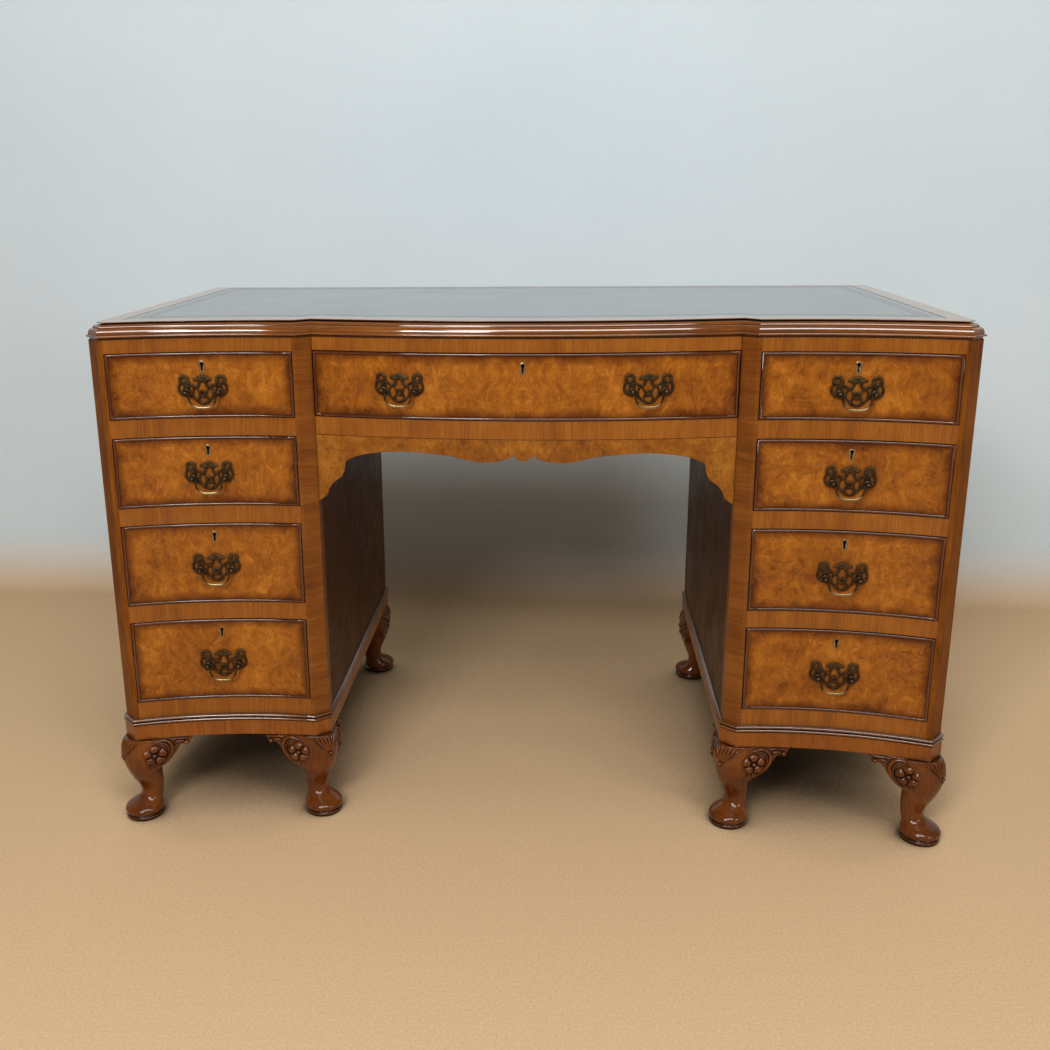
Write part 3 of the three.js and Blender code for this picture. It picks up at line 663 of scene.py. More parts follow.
WOOD = {
    "rail": straight_grain("RailVeneer", RAIL_TONES),
    "stile": straight_grain("StileVeneer", STILE_TONES, along=ALONG_U, haze=0.12),
    "corner": straight_grain("CornerVeneer", CORNER_TONES, coat=0, haze=0.04),
    "mould": straight_grain("Moulding", MOULD_TONES, along=ALONG_U, gloss=(0.18, 0.26), ripple=0.05,
                            haze=0.04, coat=1, coat_ior=1.8, coat_blur=0.08),
    "bead": straight_grain("Cockbead", BEAD_TONES, along=ALONG_U, gloss=(0.1, 0.22), ripple=0.03,
                           shade_and_dirt=0.005, haze=0.03, coat=0.8, coat_ior=1.75),
    "plinth": straight_grain("PlinthMoulding", PLINTH_TONES, along=ALONG_U, gloss=(0.1, 0.22), ripple=0.05,
                             haze=0.05, coat=1, coat_ior=1.95, coat_blur=0.11),
    "foot": straight_grain("PlinthVeneer", FOOT_TONES),
    "border": straight_grain("TopBorder", BORDER_TONES, gloss=(0.16, 0.26), ripple=0.03, coat=0.8),
    "side": straight_grain("SideVeneerShaded", SHADED_SIDE_TONES, object_grain("z"), haze=0.04, coat=0.06),
    "back": straight_grain("BackBoards", BACK_TONES, object_grain("z"), gloss=(0.45, 0.65)),
    "oak": straight_grain("DrawerOak", OAK_TONES, object_grain("y"), gloss=SATIN),
    "inner": straight_grain("CarcassWood", BACK_TONES, object_grain("x"), gloss=SATIN),
}
BURR = burr("BurrVeneer")
BURR_MATCHED = burr("BurrVeneerMatched", bookmatch=True)
BURR_APRON = burr("ApronVeneer", bookmatch=True, shaded_edges=False, tint=(0.82, 0.88, 1))
LEATHER = leather_material()
BRONZE = bronze_material()
CARVED = carved_material()
SHADOW_PAINT = shadow_material()


# Top board

# Levels of the moulded edge: a shadow gap, a bead, a large and a small ovolo, a quirk and the thin lip
GAP_TOP = CARCASS_TOP + 3.2
BEAD_TOP = GAP_TOP + 3.4
OVOLO_TOP = BEAD_TOP + 9
SMALL_OVOLO_BASE = OVOLO_TOP + 0.5
QUIRK_BASE = DESK_HEIGHT - 3.1
LIP_BASE = DESK_HEIGHT - 1.4
GAP_DEPTH = 1.5
BEAD_BASE = 1
BEAD_PROUD = 3
OVOLO_RUN = 6
OVOLO_LEDGE = 0.6
SMALL_OVOLO_RUN = 7
QUIRK_DEPTH = 6
LIP_NOSE = 0.7
LIP_FLAT = 0.8
OVOLO_STEPS = 9
HALF_ROUND_STEPS = 8


def top_stations():
    """Plan of the body and of the leather, and the leather's again with a point for each of the body's."""
    left = pedestal_front()
    leather_half = HALF_WIDTH - LIP_INSET - LEATHER_SIDE
    back = LIP_INSET + LEATHER_FRONT
    arc = face_points(FACES["left"], -leather_half, INNER_CORNER[0], back, PEDESTAL_STEPS)
    leather = [*arc, (-KNEEHOLE_HALF, CENTRE_SETBACK + back)]
    middle = face_points(FACES["centre"], -KNEEHOLE_HALF, KNEEHOLE_HALF, 0, CENTRE_STEPS)[1:-1]
    bowed = [(x, y + back) for x, y in middle]
    rear = BODY_DEPTH - LIP_INSET - LEATHER_BACK
    outline = [*left, *middle, *mirrored(left), (HALF_WIDTH, BODY_DEPTH), (-HALF_WIDTH, BODY_DEPTH)]
    inset = [*leather, *bowed, *mirrored(leather), (leather_half, rear), (-leather_half, rear)]
    matched = [leather[0], *leather, *bowed, *mirrored([leather[0], *leather]), *inset[-2:]]
    return outline, inset, matched


def top_levels():
    """Height and offset of each line of the moulded edge, from the bottom up."""
    bead = half_round(GAP_TOP, BEAD_TOP, BEAD_BASE, BEAD_PROUD)
    large = quarter_round(BEAD_TOP, OVOLO_TOP, 0, OVOLO_RUN)
    small = quarter_round(SMALL_OVOLO_BASE, QUIRK_BASE, -OVOLO_RUN - OVOLO_LEDGE, SMALL_OVOLO_RUN)
    nose = half_round(LIP_BASE, DESK_HEIGHT, -LIP_INSET - LIP_NOSE, -LIP_INSET)
    return [
        (CARCASS_TOP, -GAP_DEPTH), (GAP_TOP, -GAP_DEPTH), *bead, *large,
        (SMALL_OVOLO_BASE, -OVOLO_RUN), *small,
        (QUIRK_BASE, -LIP_INSET - QUIRK_DEPTH), (LIP_BASE, -LIP_INSET - QUIRK_DEPTH), *nose,
        (DESK_HEIGHT, -LIP_INSET - LIP_NOSE - LIP_FLAT),
    ]


def half_round(z0, z1, base, crown):
    """Height and offset of each line of a bead, from its foot to its top."""
    middle, half = (z0 + z1) / 2, (z1 - z0) / 2
    turns = spread(-math.pi / 2, math.pi / 2, HALF_ROUND_STEPS)
    return [(middle + half * math.sin(turn), base + (crown - base) * math.cos(turn)) for turn in turns]


def quarter_round(z0, z1, reach, run):
    """Height and offset of each line of an ovolo that falls back by its run towards the top."""
    turns = spread(0, math.pi / 2, OVOLO_STEPS)
    return [(z0 + (z1 - z0) * math.sin(turn), reach - run * (1 - math.cos(turn))) for turn in turns]


def build_top():
    """The top board, with the recess that the leather lies in."""
    outline, _, inset = top_stations()
    piece = Piece("top_board_veneered")
    rings = [at_height(offset(outline, reach), z) for z, reach in top_levels()]
    quirk = top_levels().index((QUIRK_BASE, -LIP_INSET - QUIRK_DEPTH))
    piece.strip(rings[:quirk + 1], 0, closed=True)
    # The quirk and the lip's underside take the near-black painted shadow
    piece.strip(rings[quirk:quirk + 3], 3, closed=True)
    piece.strip(rings[quirk + 2:], 0, closed=True)
    piece.cap(rings[0], 2)
    surface = at_height(inset, DESK_HEIGHT)
    piece.strip([rings[-1], surface], 1, closed=True)
    floor = at_height(inset, DESK_HEIGHT - LEATHER_RECESS)
    piece.strip([surface, floor], 1, closed=True)
    piece.cap(floor, 2)
    top = piece.make([WOOD["mould"], WOOD["border"], WOOD["inner"], SHADOW_PAINT], crisp=32)
    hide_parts("top_board")


TOOLED_LINES = (17.5, 26.5)
TOOL_HALF = 1.1
TOOL_DEPTH = 0.6
LEATHER_GAP = 0.3
LEATHER_TOP = DESK_HEIGHT - 0.2
LEATHER_ROUND = 1.2
LEATHER_EDGE_DROP = 0.5


def unfolded(outline):
    """The leather's inset outline, with the points that passed a front corner put back on its line."""
    made = list(outline)
    for corner, step in ((0, 1), (len(outline) - 3, -1)):
        clear = 1
        while (outline[corner + step * clear][0] - outline[corner][0]) * step <= 0:
            clear += 1
        ends = (outline[corner], outline[corner + step * clear])
        for k in range(1, clear):
            made[corner + step * k] = tuple(a + (b - a) * k / clear for a, b in zip(*ends))
    return made


def build_leather():
    """The leather, with two blind-tooled lines that follow its edge."""
    _, inset, _ = top_stations()
    levels = [
        (LEATHER_GAP, -LEATHER_ROUND), (LEATHER_GAP, -LEATHER_EDGE_DROP), (LEATHER_GAP + LEATHER_ROUND, 0),
    ]
    for line in TOOLED_LINES:
        levels += [(line - TOOL_HALF, 0), (line, -TOOL_DEPTH), (line + TOOL_HALF, 0)]
    piece = Piece("leather_tooled")
    rings = [at_height(unfolded(offset(inset, -reach)), LEATHER_TOP + drop) for reach, drop in levels]
    piece.tube(rings)
    leather = piece.make([LEATHER], crisp=15)
    groove = round((LEATHER_TOP - TOOL_DEPTH) * MM, 6)
    paint_edge(leather.data, lambda p: float(round(p.z, 6) == groove))
    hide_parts("leather_inset")


# Pedestal frames and plinths

def opening_levels():
    """Bottom and top of each drawer opening, from the highest down."""
    levels, top = [], CARCASS_TOP - TOP_RAIL
    clear = top - CARCASS_BASE - RAIL * len(OPENING_HEIGHT_SHARES)
    for share in OPENING_HEIGHT_SHARES:
        levels.append((top - clear * share, top))
        top -= clear * share + RAIL
    return levels


LEVELS = opening_levels()


FRAME_EDGE = 0.3
FRIEZE_EDGE = 0.4


def curved_bar(piece, face, x0, x1, z0, z1, steps, open_ends=False):
    """A rail that follows a face, veneered on its front; its ends stay open where they meet a stile."""
    front = face_points(face, x0, x1, 0, steps)
    back = face_points(face, x0, x1, RAIL_DEPTH, steps)
    piece.strip([at_height(front, z0), at_height(front, z1)], 0)
    piece.strip([at_height(front, z1), at_height(back, z1)], 0)
    piece.strip([at_height(back, z1), at_height(back, z0)], 1)
    piece.strip([at_height(back, z0), at_height(front, z0)], 0)
    if not open_ends:
        for x, y in (front[0], front[-1]):
            back_y = y + RAIL_DEPTH
            piece.cap([(x, y, z0), (x, y, z1), (x, back_y, z1), (x, back_y, z0)], 1)


def build_frame(side, sign):
    """Both canted stiles and the five rails of a pedestal."""
    face = FACES[side]
    turn = mirrored if sign > 0 else list
    piece = Piece(f"{side}_front_frame_veneered")
    outer = [
        (-HALF_WIDTH, CANT), (-(HALF_WIDTH - CANT), 0),
        (-OPENING_OUTER, FACES["left"].y(-OPENING_OUTER)),
        (-OPENING_OUTER, OUTER_STILE_DEPTH), (-HALF_WIDTH, OUTER_STILE_DEPTH),
    ]
    inner = [
        (-OPENING_INNER, FACES["left"].y(-OPENING_INNER)),
        INNER_CORNER, (-KNEEHOLE_HALF, CENTRE_SETBACK),
        (-KNEEHOLE_HALF, INNER_STILE_BACK), (-OPENING_INNER, INNER_STILE_BACK),
    ]
    piece.prism(turn(outer), CARCASS_BASE, CARCASS_TOP, 2)
    piece.prism(turn(inner), CARCASS_BASE, CARCASS_TOP, 3)
    x0, x1 = sorted((sign * OPENING_OUTER, sign * OPENING_INNER))
    bounds = [CARCASS_TOP]
    for bottom, top in LEVELS:
        bounds += [top, bottom]
    bounds.append(CARCASS_BASE)
    for upper, lower in zip(bounds[0::2], bounds[1::2]):
        curved_bar(piece, face, x0, x1, lower, upper, PEDESTAL_STEPS, open_ends=True)
    made = piece.make([WOOD["rail"], WOOD["inner"], WOOD["corner"], WOOD["stile"]])
    soften(made, FRAME_EDGE)
    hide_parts(f"{side}_front_frame")


# Height above the plinth's foot and offset of each line of the plinth
PLINTH_LEVELS = (
    (0, 2.2), (0.8, 3), (23.8, 3), (24.4, 1.8), (25, 1.8), *half_round(25, 29.2, 2.4, 5), (29.2, 1.2),
    (30.4, 1.2), *half_round(30.4, 34.6, 2, 4.6), (35, 1),
)
PLINTH_MOULD_FROM = 2
PLINTH_RECESS = 45
PLINTH_BOARD = 12


def build_plinth(side, sign):
    """The plinth board with its two beads, hollow underneath."""
    outline = [*pedestal_front(), (-KNEEHOLE_HALF, BODY_DEPTH), (-HALF_WIDTH, BODY_DEPTH)]
    if sign > 0:
        outline = mirrored(outline)
    piece = Piece(f"{side}_plinth_moulded")
    rings = [at_height(offset(outline, reach), PLINTH_BASE + z) for z, reach in PLINTH_LEVELS]
    piece.strip(rings[:PLINTH_MOULD_FROM + 1], 1, closed=True)
    piece.strip(rings[PLINTH_MOULD_FROM:], 0, closed=True)
    piece.cap(rings[-1], 2)
    recess_x = sorted((sign * (HALF_WIDTH - PLINTH_RECESS), sign * (KNEEHOLE_HALF + PLINTH_RECESS)))
    front = INNER_CORNER_SETBACK + PLINTH_RECESS
    rear = BODY_DEPTH - PLINTH_RECESS
    hole = [(recess_x[0], front), (recess_x[1], front), (recess_x[1], rear), (recess_x[0], rear)]
    ceiling = at_height(hole, CARCASS_BASE - PLINTH_BOARD)
    mouth = at_height(hole, PLINTH_BASE)
    piece.strip([mouth, ceiling], 2, closed=True)
    piece.cap(ceiling, 2)
    add_ring(piece, rings[0], mouth, 2)
    made = piece.make([WOOD["plinth"], WOOD["foot"], WOOD["inner"]], crisp=28)
    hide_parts(f"{side}_plinth")


def add_ring(piece, outer, inner, slot):
    """Flat faces between an outline and the four-sided hole inside it."""
    count = len(outer)
    corners = [min(range(count), key=lambda i: math.dist(outer[i], corner)) for corner in inner]
    for k, corner in enumerate(inner):
        following = inner[(k + 1) % len(inner)]
        start, end = corners[k], corners[(k + 1) % len(inner)]
        run = [outer[(start + i) % count] for i in range((end - start) % count + 1)]
        piece.cap([corner, *run, following], slot)


# Drawers

EDGE_STATIONS = (0, 1.5, 3.5, 6, 9, 13, 18, 25)
EDGE_REACH = 26
PANEL_STEP = 12
PANEL_STEP_UP = 25


def graded(start, end, step):
    """Stations between two ends, close together near both."""
    near = [start + d for d in EDGE_STATIONS]
    far = [end - d for d in reversed(EDGE_STATIONS)]
    count = max(2, round((far[0] - near[-1]) / step))
    return [*near, *spread(near[-1], far[0], count)[1:-1], *far]


def key_outline(x, z, radius, half_slot, length):
    """Keyhole outline about its middle: a round eye over a slot."""
    top = z + length / 2
    eye = top - radius
    foot = top - length
    start = math.asin(half_slot / radius) - math.pi / 2
    arc = [
        (x + radius * math.cos(a), eye + radius * math.sin(a))
        for a in spread(start, math.pi - start, KEY_STEPS)
    ]
    return [(x + half_slot, foot), *arc, (x - half_slot, foot)]


KEY_RADIUS, KEY_SLOT, KEY_LENGTH = 2.5, 1.3, 12.5
KEY_STEPS = 18
KEY_CLEAR = 5
KEY_BACK = 3


def cut_keyhole(panel, face, x, z):
    """Cuts the keyhole into a drawer front, and leaves a little wood behind it."""
    cutter = Piece("keyhole_cutter")
    outline = key_outline(x, z, KEY_RADIUS, KEY_SLOT, KEY_LENGTH)
    near = [(px, face.y(x) - KEY_CLEAR, pz) for px, pz in outline]
    far = [(px, face.y(x) + FRONT_THICKNESS - KEY_BACK, pz) for px, pz in outline]
    cutter.strip([near, far], closed=True)
    cutter.cap(near, turned=True)
    cutter.cap(far, turned=True)
    tool = cutter.make([SHADOW_PAINT])
    cut = panel.modifiers.new("Keyhole", "BOOLEAN")
    cut.object = tool
    cut.solver = "EXACT"
    # The hole's walls take the cutter's near-black painted shadow
    cut.material_mode = "TRANSFER"
    baked(panel)
    bpy.data.objects.remove(tool)
    sharpen(panel.data, CRISP)


RIM = 2.1
RIM_RAISED = 0.1
RIM_WEAR = 0.85
# Share of the rim's width, and how far it stands out from the drawer's face
RIM_SECTION = ((0, -0.4), (0, 0.3), (0.25, 0.55), (0.75, 0.55), (1, 0.3), (1, -0.4))


def add_escutcheon(name, face, x, z, body):
    """A brass thread let in round the keyhole."""
    inner = key_outline(x, z, KEY_RADIUS, KEY_SLOT, KEY_LENGTH)
    outer = key_outline(x, z + RIM_RAISED, KEY_RADIUS + RIM, KEY_SLOT + RIM, KEY_LENGTH + 2 * RIM)
    piece = Piece(f"{name}_escutcheon")
    rows = []
    for share, reach in RIM_SECTION:
        row = []
        for (xi, zi), (xo, zo) in zip(inner, outer):
            px, pz = xi + (xo - xi) * share, zi + (zo - zi) * share
            row.append((px, face.y(px) - reach, pz))
        rows.append(row)
    piece.strip([*rows, rows[0]], closed=True)
    made = piece.make([BRONZE], body, crisp=50)
    paint_edge(made.data, lambda p: RIM_WEAR)


BEAD_STEPS = 7
BEAD_FULLNESS = 0.75
BEAD_TAIL = 1


def add_bead(name, face, x0, x1, z0, z1, body, steps):
    """The rounded cockbead round a drawer front, mitred at its corners."""
    piece = Piece(f"{name}_cockbead")
    rows = []
    for turn in spread(0, math.pi, BEAD_STEPS):
        inset = BEAD_WIDTH * (1 - math.cos(turn)) / 2
        reach = BEAD_REACH * math.sin(turn) ** BEAD_FULLNESS
        xs = spread(x0 + inset, x1 - inset, steps)
        low = [(x, face.y(x) - reach, z0 + inset) for x in xs]
        high = [(x, face.y(x) - reach, z1 - inset) for x in reversed(xs)]
        rows.append([*low, *high])
    piece.strip(rows, closed=True)
    piece.strip([rows[-1], [(x, y + BEAD_TAIL, z) for x, y, z in rows[-1]]], closed=True)
    return piece.make([WOOD["bead"]], body, crisp=40)


def drawer_panel(name, face, x0, x1, z0, z1, body, veneer):
    """The veneered front between the beads, with its solid edges and back."""
    piece = Piece(f"{name}_front_veneered")
    xs = [x0, *graded(x0 + BEAD_WIDTH, x1 - BEAD_WIDTH, PANEL_STEP), x1]
    zs = [z0, *graded(z0 + BEAD_WIDTH, z1 - BEAD_WIDTH, PANEL_STEP_UP), z1]
    front = [[(x, face.y(x), z) for x in xs] for z in zs]
    back = [[(x, face.y(x) + FRONT_THICKNESS, z) for x in xs] for z in (zs[0], zs[-1])]
    piece.strip(front, 0, planar=True)
    piece.strip([front[-1], back[1]], 1)
    piece.strip([back[1], back[0]], 1, planar=True)
    piece.strip([back[0], front[0]], 1)
    for column in (0, -1):
        x, y, _ = front[0][column]
        edge = [(x, y, z) for z in zs]
        rear = [(x, y + FRONT_THICKNESS, z) for z in (z1, z0)]
        piece.cap([*edge, *rear], 1)
    panel = piece.make([veneer, WOOD["inner"]], body)

    # How far inside the beads a point lies; the burr's painted shade towards the beads reads it
    def nearness(p):
        clear_x = (x1 - x0) / 2 - BEAD_WIDTH - abs(p.x / MM - (x0 + x1) / 2)
        clear_z = (z1 - z0) / 2 - BEAD_WIDTH - abs(p.z / MM - (z0 + z1) / 2)
        return max(0.0, min(clear_x, clear_z)) / EDGE_REACH

    paint_edge(panel.data, nearness)
    return panel


def build_drawer(name, face, x0, x1, level, veneer, steps):
    """A drawer's front with its keyhole, brass thread and cockbead; its box stays the frame's."""
    bottom, top = level
    x0, x1, z0, z1 = x0 + FRONT_GAP, x1 - FRONT_GAP, bottom + FRONT_GAP, top - FRONT_GAP
    panel = drawer_panel(name, face, x0, x1, z0, z1, name, veneer)
    key_x, key_z = (x0 + x1) / 2, z1 - KEYHOLE_BELOW_TOP
    cut_keyhole(panel, face, key_x, key_z)
    add_escutcheon(name, face, key_x, key_z, name)
    bead = add_bead(name, face, x0, x1, z0, z1, name, steps)
    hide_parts(f"{name}_front")


# Centre frieze and apron

CHEEK = 12
BACK_RAIL = 18
PANEL_BACK = BODY_DEPTH - 8
RUNNER_WIDTH = 24
RUNNER_HEIGHT = 10
GUIDE_HEIGHT = 22
BOX_GAP = 3
GUIDE_GAP = 0.6


def build_frieze():
    """The rails round the centre drawer, its runners and guides; gives the lower rail's underside."""
    bottom, top = LEVELS[0]
    base = bottom - RAIL
    piece = Piece("centre_frieze_veneered")
    face = FACES["centre"]
    for low, high in ((top, CARCASS_TOP), (base, bottom)):
        curved_bar(piece, face, -FRIEZE_HALF, FRIEZE_HALF, low, high, CENTRE_STEPS)
    clear = CENTRE_SETBACK + RAIL_DEPTH + FRONT_GAP
    box_half = FRIEZE_HALF - CHEEK - BOX_GAP
    for sign in (-1, 1):
        inner, outer = sorted((sign * (FRIEZE_HALF - CHEEK), sign * FRIEZE_HALF))
        runner = sorted((sign * (box_half - RUNNER_WIDTH / 2), sign * (FRIEZE_HALF - CHEEK)))
        guide = sorted((sign * (box_half + GUIDE_GAP), sign * (FRIEZE_HALF - CHEEK)))
        piece.board(inner, outer, clear, BODY_DEPTH, base, CARCASS_TOP, 1)
        piece.board(*runner, clear, PANEL_BACK, bottom - RUNNER_HEIGHT, bottom, 1)
        piece.board(*guide, clear, PANEL_BACK, bottom, bottom + GUIDE_HEIGHT, 1)
    cheek_inner = FRIEZE_HALF - CHEEK
    piece.board(-cheek_inner, cheek_inner, BODY_DEPTH - BACK_RAIL, BODY_DEPTH, base, CARCASS_TOP, 1)
    made = soften(piece.make([WOOD["rail"], WOOD["inner"]]), FRIEZE_EDGE)
    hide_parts("centre_frieze_frame")
    return base


APRON_THICKNESS = 13
APRON_DROP = 101
APRON_RECESS = 0.8
APRON_TOP_GAP = 0.4
APRON_ROWS = 5
APRON_CURVE_STEPS = 9
# The lower edge from the stile to the middle, as shares of the half width and of the drop. Each step
# gives where a straight line ends, or what a curve leans towards and where it ends.
APRON_START = (1, 1)
APRON_STEPS = (
    ((0.954, 0.895),),
    ((0.948, 0.82),),
    ((0.925, 0.69), (0.88, 0.622)),
    ((0.861, 0.53), (0.856, 0.387)),
    ((0.8, 0.235), (0.588, 0.202)),
    ((0.4, 0.205), (0.3, 0.275)),
    ((0.21, 0.345), (0.168, 0.328)),
    ((0.09, 0.318), (0.044, 0.234)),
    ((0.026, 0.305), (0, 0.308)),
)


def apron_shares():
    """Points along that edge, with its curves stepped."""
    points = [APRON_START]
    for *leans, end in APRON_STEPS:
        start = points[-1]
        for lean in leans:
            for t in spread(0, 1, APRON_CURVE_STEPS)[1:-1]:
                weights = ((1 - t) * (1 - t), 2 * (1 - t) * t, t * t)
                values = zip(start, lean, end)
                points.append(tuple(sum(w * v for w, v in zip(weights, along)) for along in values))
        points.append(end)
    return points


def build_apron(top):
    """The shaped board under the centre drawer's lower rail."""
    half = [(x * FRIEZE_HALF, top - z * APRON_DROP) for x, z in apron_shares()]
    edge = [(-x, z) for x, z in half[:-1]] + list(reversed(half))
    face = FACES["centre"]
    piece = Piece("centre_apron_veneered")

    def row(share, back):
        return [(x, face.y(x) + APRON_RECESS + back, z + (top - z) * share) for x, z in edge]

    shares = spread(0, 1, APRON_ROWS)
    piece.strip([row(s, 0) for s in shares], 0, planar=True)
    piece.strip([row(s, APRON_THICKNESS) for s in shares], 1, planar=True)
    piece.strip([row(0, 0), row(0, APRON_THICKNESS)], 1)
    piece.strip([row(1, 0), row(1, APRON_THICKNESS)], 1)
    for column in (0, -1):
        (x, y, z), (_, back, _) = row(0, 0)[column], row(0, APRON_THICKNESS)[column]
        piece.cap([(x, y, z), (x, back, z), (x, back, top), (x, y, top)], 1)
    made = soften(piece.make([BURR_APRON, WOOD["side"]], crisp=50), FRIEZE_EDGE)
    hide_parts("centre_apron")


# The carcass with its nine drawers

def build_carcass():
    for side, sign in (("left", -1), ("right", 1)):
        build_frame(side, sign)
        build_plinth(side, sign)
        x0, x1 = sorted((sign * OPENING_OUTER, sign * OPENING_INNER))
        for number, level in enumerate(LEVELS, 1):
            build_drawer(f"{side}_drawer_{number}", FACES[side], x0, x1, level, BURR, PEDESTAL_STEPS)
    base = build_frieze()
    face = FACES["centre"]
    build_drawer("centre_drawer", face, -FRIEZE_HALF, FRIEZE_HALF, LEVELS[0], BURR_MATCHED, CENTRE_STEPS)
    build_apron(base - APRON_TOP_GAP)


def dress_frame_nodes():
    """Gives the CAD nodes that stay their finishes."""
    finishes = {"_side": "side", "_back_panel": "back", "_box": "oak"}
    for name, node in frame["nodes"].items():
        for ending, wood in finishes.items():
            if name.endswith(ending):
                node.data.materials.clear()
                node.data.materials.append(WOOD[wood])


# Cabriole legs

def spline(points, steps, closed=False):
    """A smooth line through the given points."""
    count = len(points)

    def at(i):
        return points[i % count] if closed else points[min(max(i, 0), count - 1)]

    made = []
    for i in range(count if closed else count - 1):
        around = [at(i + k) for k in (-1, 0, 1, 2)]
        made += [spline_point(around, t) for t in spread(0, 1, steps)[:-1]]
    return made if closed else [*made, tuple(points[-1])]


def spline_point(around, t):
    """The point at share t between the middle two of four points."""
    point = []
    for p, q, r, s in zip(*around):
        bend = (2 * p - 5 * q + 4 * r - s) * t ** 2 + (3 * q - p - 3 * r + s) * t ** 3
        point.append((2 * q + (r - p) * t + bend) / 2)
    return tuple(point)


CURVE_STEPS = 3

# The leg is drawn to this height, and squeezed to the plinth's
LEG_TOP = 146
LEG_POINTS = 56
LEG_CORNER_TURN = math.radians(225)
KNEE_ROUND = 28
# Height, distance of the middle from both faces of the corner, half width, squareness
LEG_LEVELS = (
    (0, 16, 24.5, 2), (0.8, 16, 26.6, 2), (3.2, 16, 28.2, 2), (6, 16, 28.2, 2), (7.6, 16, 25.8, 2),
    (9.2, 16, 25.8, 2), (10.8, 16, 28.6, 2), (14, 16, 29.4, 2), (17.5, 16.2, 29, 2), (21, 17.2, 27.2, 2),
    (24, 18.8, 24.4, 2), (27, 21, 21.4, 2), (30.5, 23.8, 18.7, 2), (35, 26, 17.2, 2), (40, 27, 16.8, 2.1),
    (47, 27, 17.2, 2.1), (56, 26.2, 18.7, 2.2), (67, 24, 21.2, 2.2), (80, 21.6, 23.8, 2.3),
    (93, 19.8, 26.2, 2.3), (106, 19, 27.8, 2.4), (118, 19.2, 28.8, 2.5), (128, 20.8, 29.6, 2.7),
    (137, 22.8, 30.2, 2.9), (146, 25, 30.2, 3),
)
LEG_ROWS = spline(LEG_LEVELS, CURVE_STEPS)
LEG_VOXEL = 0.8
LEG_KEEP_SHARE = 0.12

BRACKET_ROOT = 24
BRACKET_TIP = 102
BRACKET_FACE = 4
BRACKET_BACK = 25
BRACKET_ROWS = 7
BRACKET_OUTLINE = (
    (24, 76), (38, 83), (47, 89.5), (55, 95.5), (61, 100), (66.5, 105.5), (71, 112), (75, 119), (79, 126.5),
    (84, 131), (90, 131), (94.5, 133), (98.5, 138), (101.5, 143.5),
)


def leg_level(z):
    """Middle, half width and squareness of the leg's section at a height."""
    for low, high in zip(LEG_ROWS, LEG_ROWS[1:]):
        if z <= high[0]:
            break
    share = (z - low[0]) / (high[0] - low[0])
    return [a + (b - a) * share for a, b in zip(low, high)][1:]


def leg_point(turn, z, relief=0.0):
    """A point on the leg's skin, or standing out from it by a relief."""
    middle, half, square = leg_level(z)
    c, s = math.cos(turn), math.sin(turn)
    reach = half / (abs(c) ** square + abs(s) ** square) ** (1 / square) + relief
    return (middle + reach * c, middle + reach * s, z)


def knee_surface(u, z, relief):
    """A point on the knee's corner, u millimetres round from its ridge."""
    return leg_point(LEG_CORNER_TURN + u / KNEE_ROUND, z, relief)


def bracket_front(x, z):
    """How far the bracket's face lies behind the body's: flush with the knee, then fading back."""
    middle, half, _ = leg_level(z)
    fade = min(max((x - BRACKET_ROOT) / (BRACKET_TIP - BRACKET_ROOT), 0), 1)
    return (middle - half) * (1 - fade) + BRACKET_FACE * fade


def bracket_surface(lean, swap):
    """Maps a place on the bracket's face, and its relief, to the leg's own axes."""
    def surface(x, z, relief):
        y = bracket_front(x, z) + lean * (x - BRACKET_ROOT) - relief
        return (y, x, z) if swap else (x, y, z)
    return surface


def add_bracket(piece, lean, swap):
    """One knee bracket, along the front or, swapped, along the side."""
    rows = []
    for x, low in spline(BRACKET_OUTLINE, CURVE_STEPS):
        shear = lean * (x - BRACKET_ROOT)
        face = [(x, bracket_front(x, z) + shear, z) for z in spread(low, LEG_TOP, BRACKET_ROWS)]
        row = [*face, (x, BRACKET_BACK + shear, LEG_TOP), (x, BRACKET_BACK + shear, low)]
        rows.append([(y, x, z) for x, y, z in row] if swap else row)
    piece.tube(rows)


def leg_body(name, lean):
    """Foot, shaft, knee and both brackets as one smooth skin."""
    piece = Piece(name)
    piece.tube([[leg_point(turn, z) for turn in circle(LEG_POINTS)] for z, *_ in LEG_ROWS])
    add_bracket(piece, lean, False)
    add_bracket(piece, 0, True)
    return piece


def remeshed(piece):
    """Fuses a piece's solids into one skin, with softened joins."""
    skin = piece.modifiers.new("Skin", "REMESH")
    skin.mode = "VOXEL"
    skin.voxel_size = LEG_VOXEL * MM
    smooth = piece.modifiers.new("Smooth", "SMOOTH")
    smooth.factor = 0.5
    smooth.iterations = 4
    thin = piece.modifiers.new("Thin", "DECIMATE")
    thin.ratio = LEG_KEEP_SHARE
    return baked(piece)


# Carved ornament. A boss is a turned profile of radius, relief and how deeply its petals are cut.
FLOWER = (
    (0, 5, 0), (1.6, 4.8, 0), (3.1, 3.7, 0), (3.8, 1.9, 0), (4.2, 1, 0), (5, 2, 1), (6.6, 4.4, 1),
    (9.2, 5.7, 1), (12.2, 5.6, 1), (15.2, 4.4, 1), (17.4, 2.3, 1), (18.5, 0, 1), (18.7, -4, 1),
)
FLOWER_PLACE = (47, 118)
FLOWER_POINTS = 60
PETALS = 5
PETAL_NOTCH = 0.16
PETAL_CUT = 0.9
BEAD = ((0, 1.3, 0), (0.4, 1.2, 0), (0.75, 0.9, 0), (0.95, 0.45, 0), (1, 0, 0), (0.95, -0.8, 0))
# Place, size and number of points round it
SCROLL_BEAD = ((92, 134.2), 4.1, 20)
KNEE_BEADS = (((0, 116.4), 3, 20), ((0, 111.2), 1.8, 16))
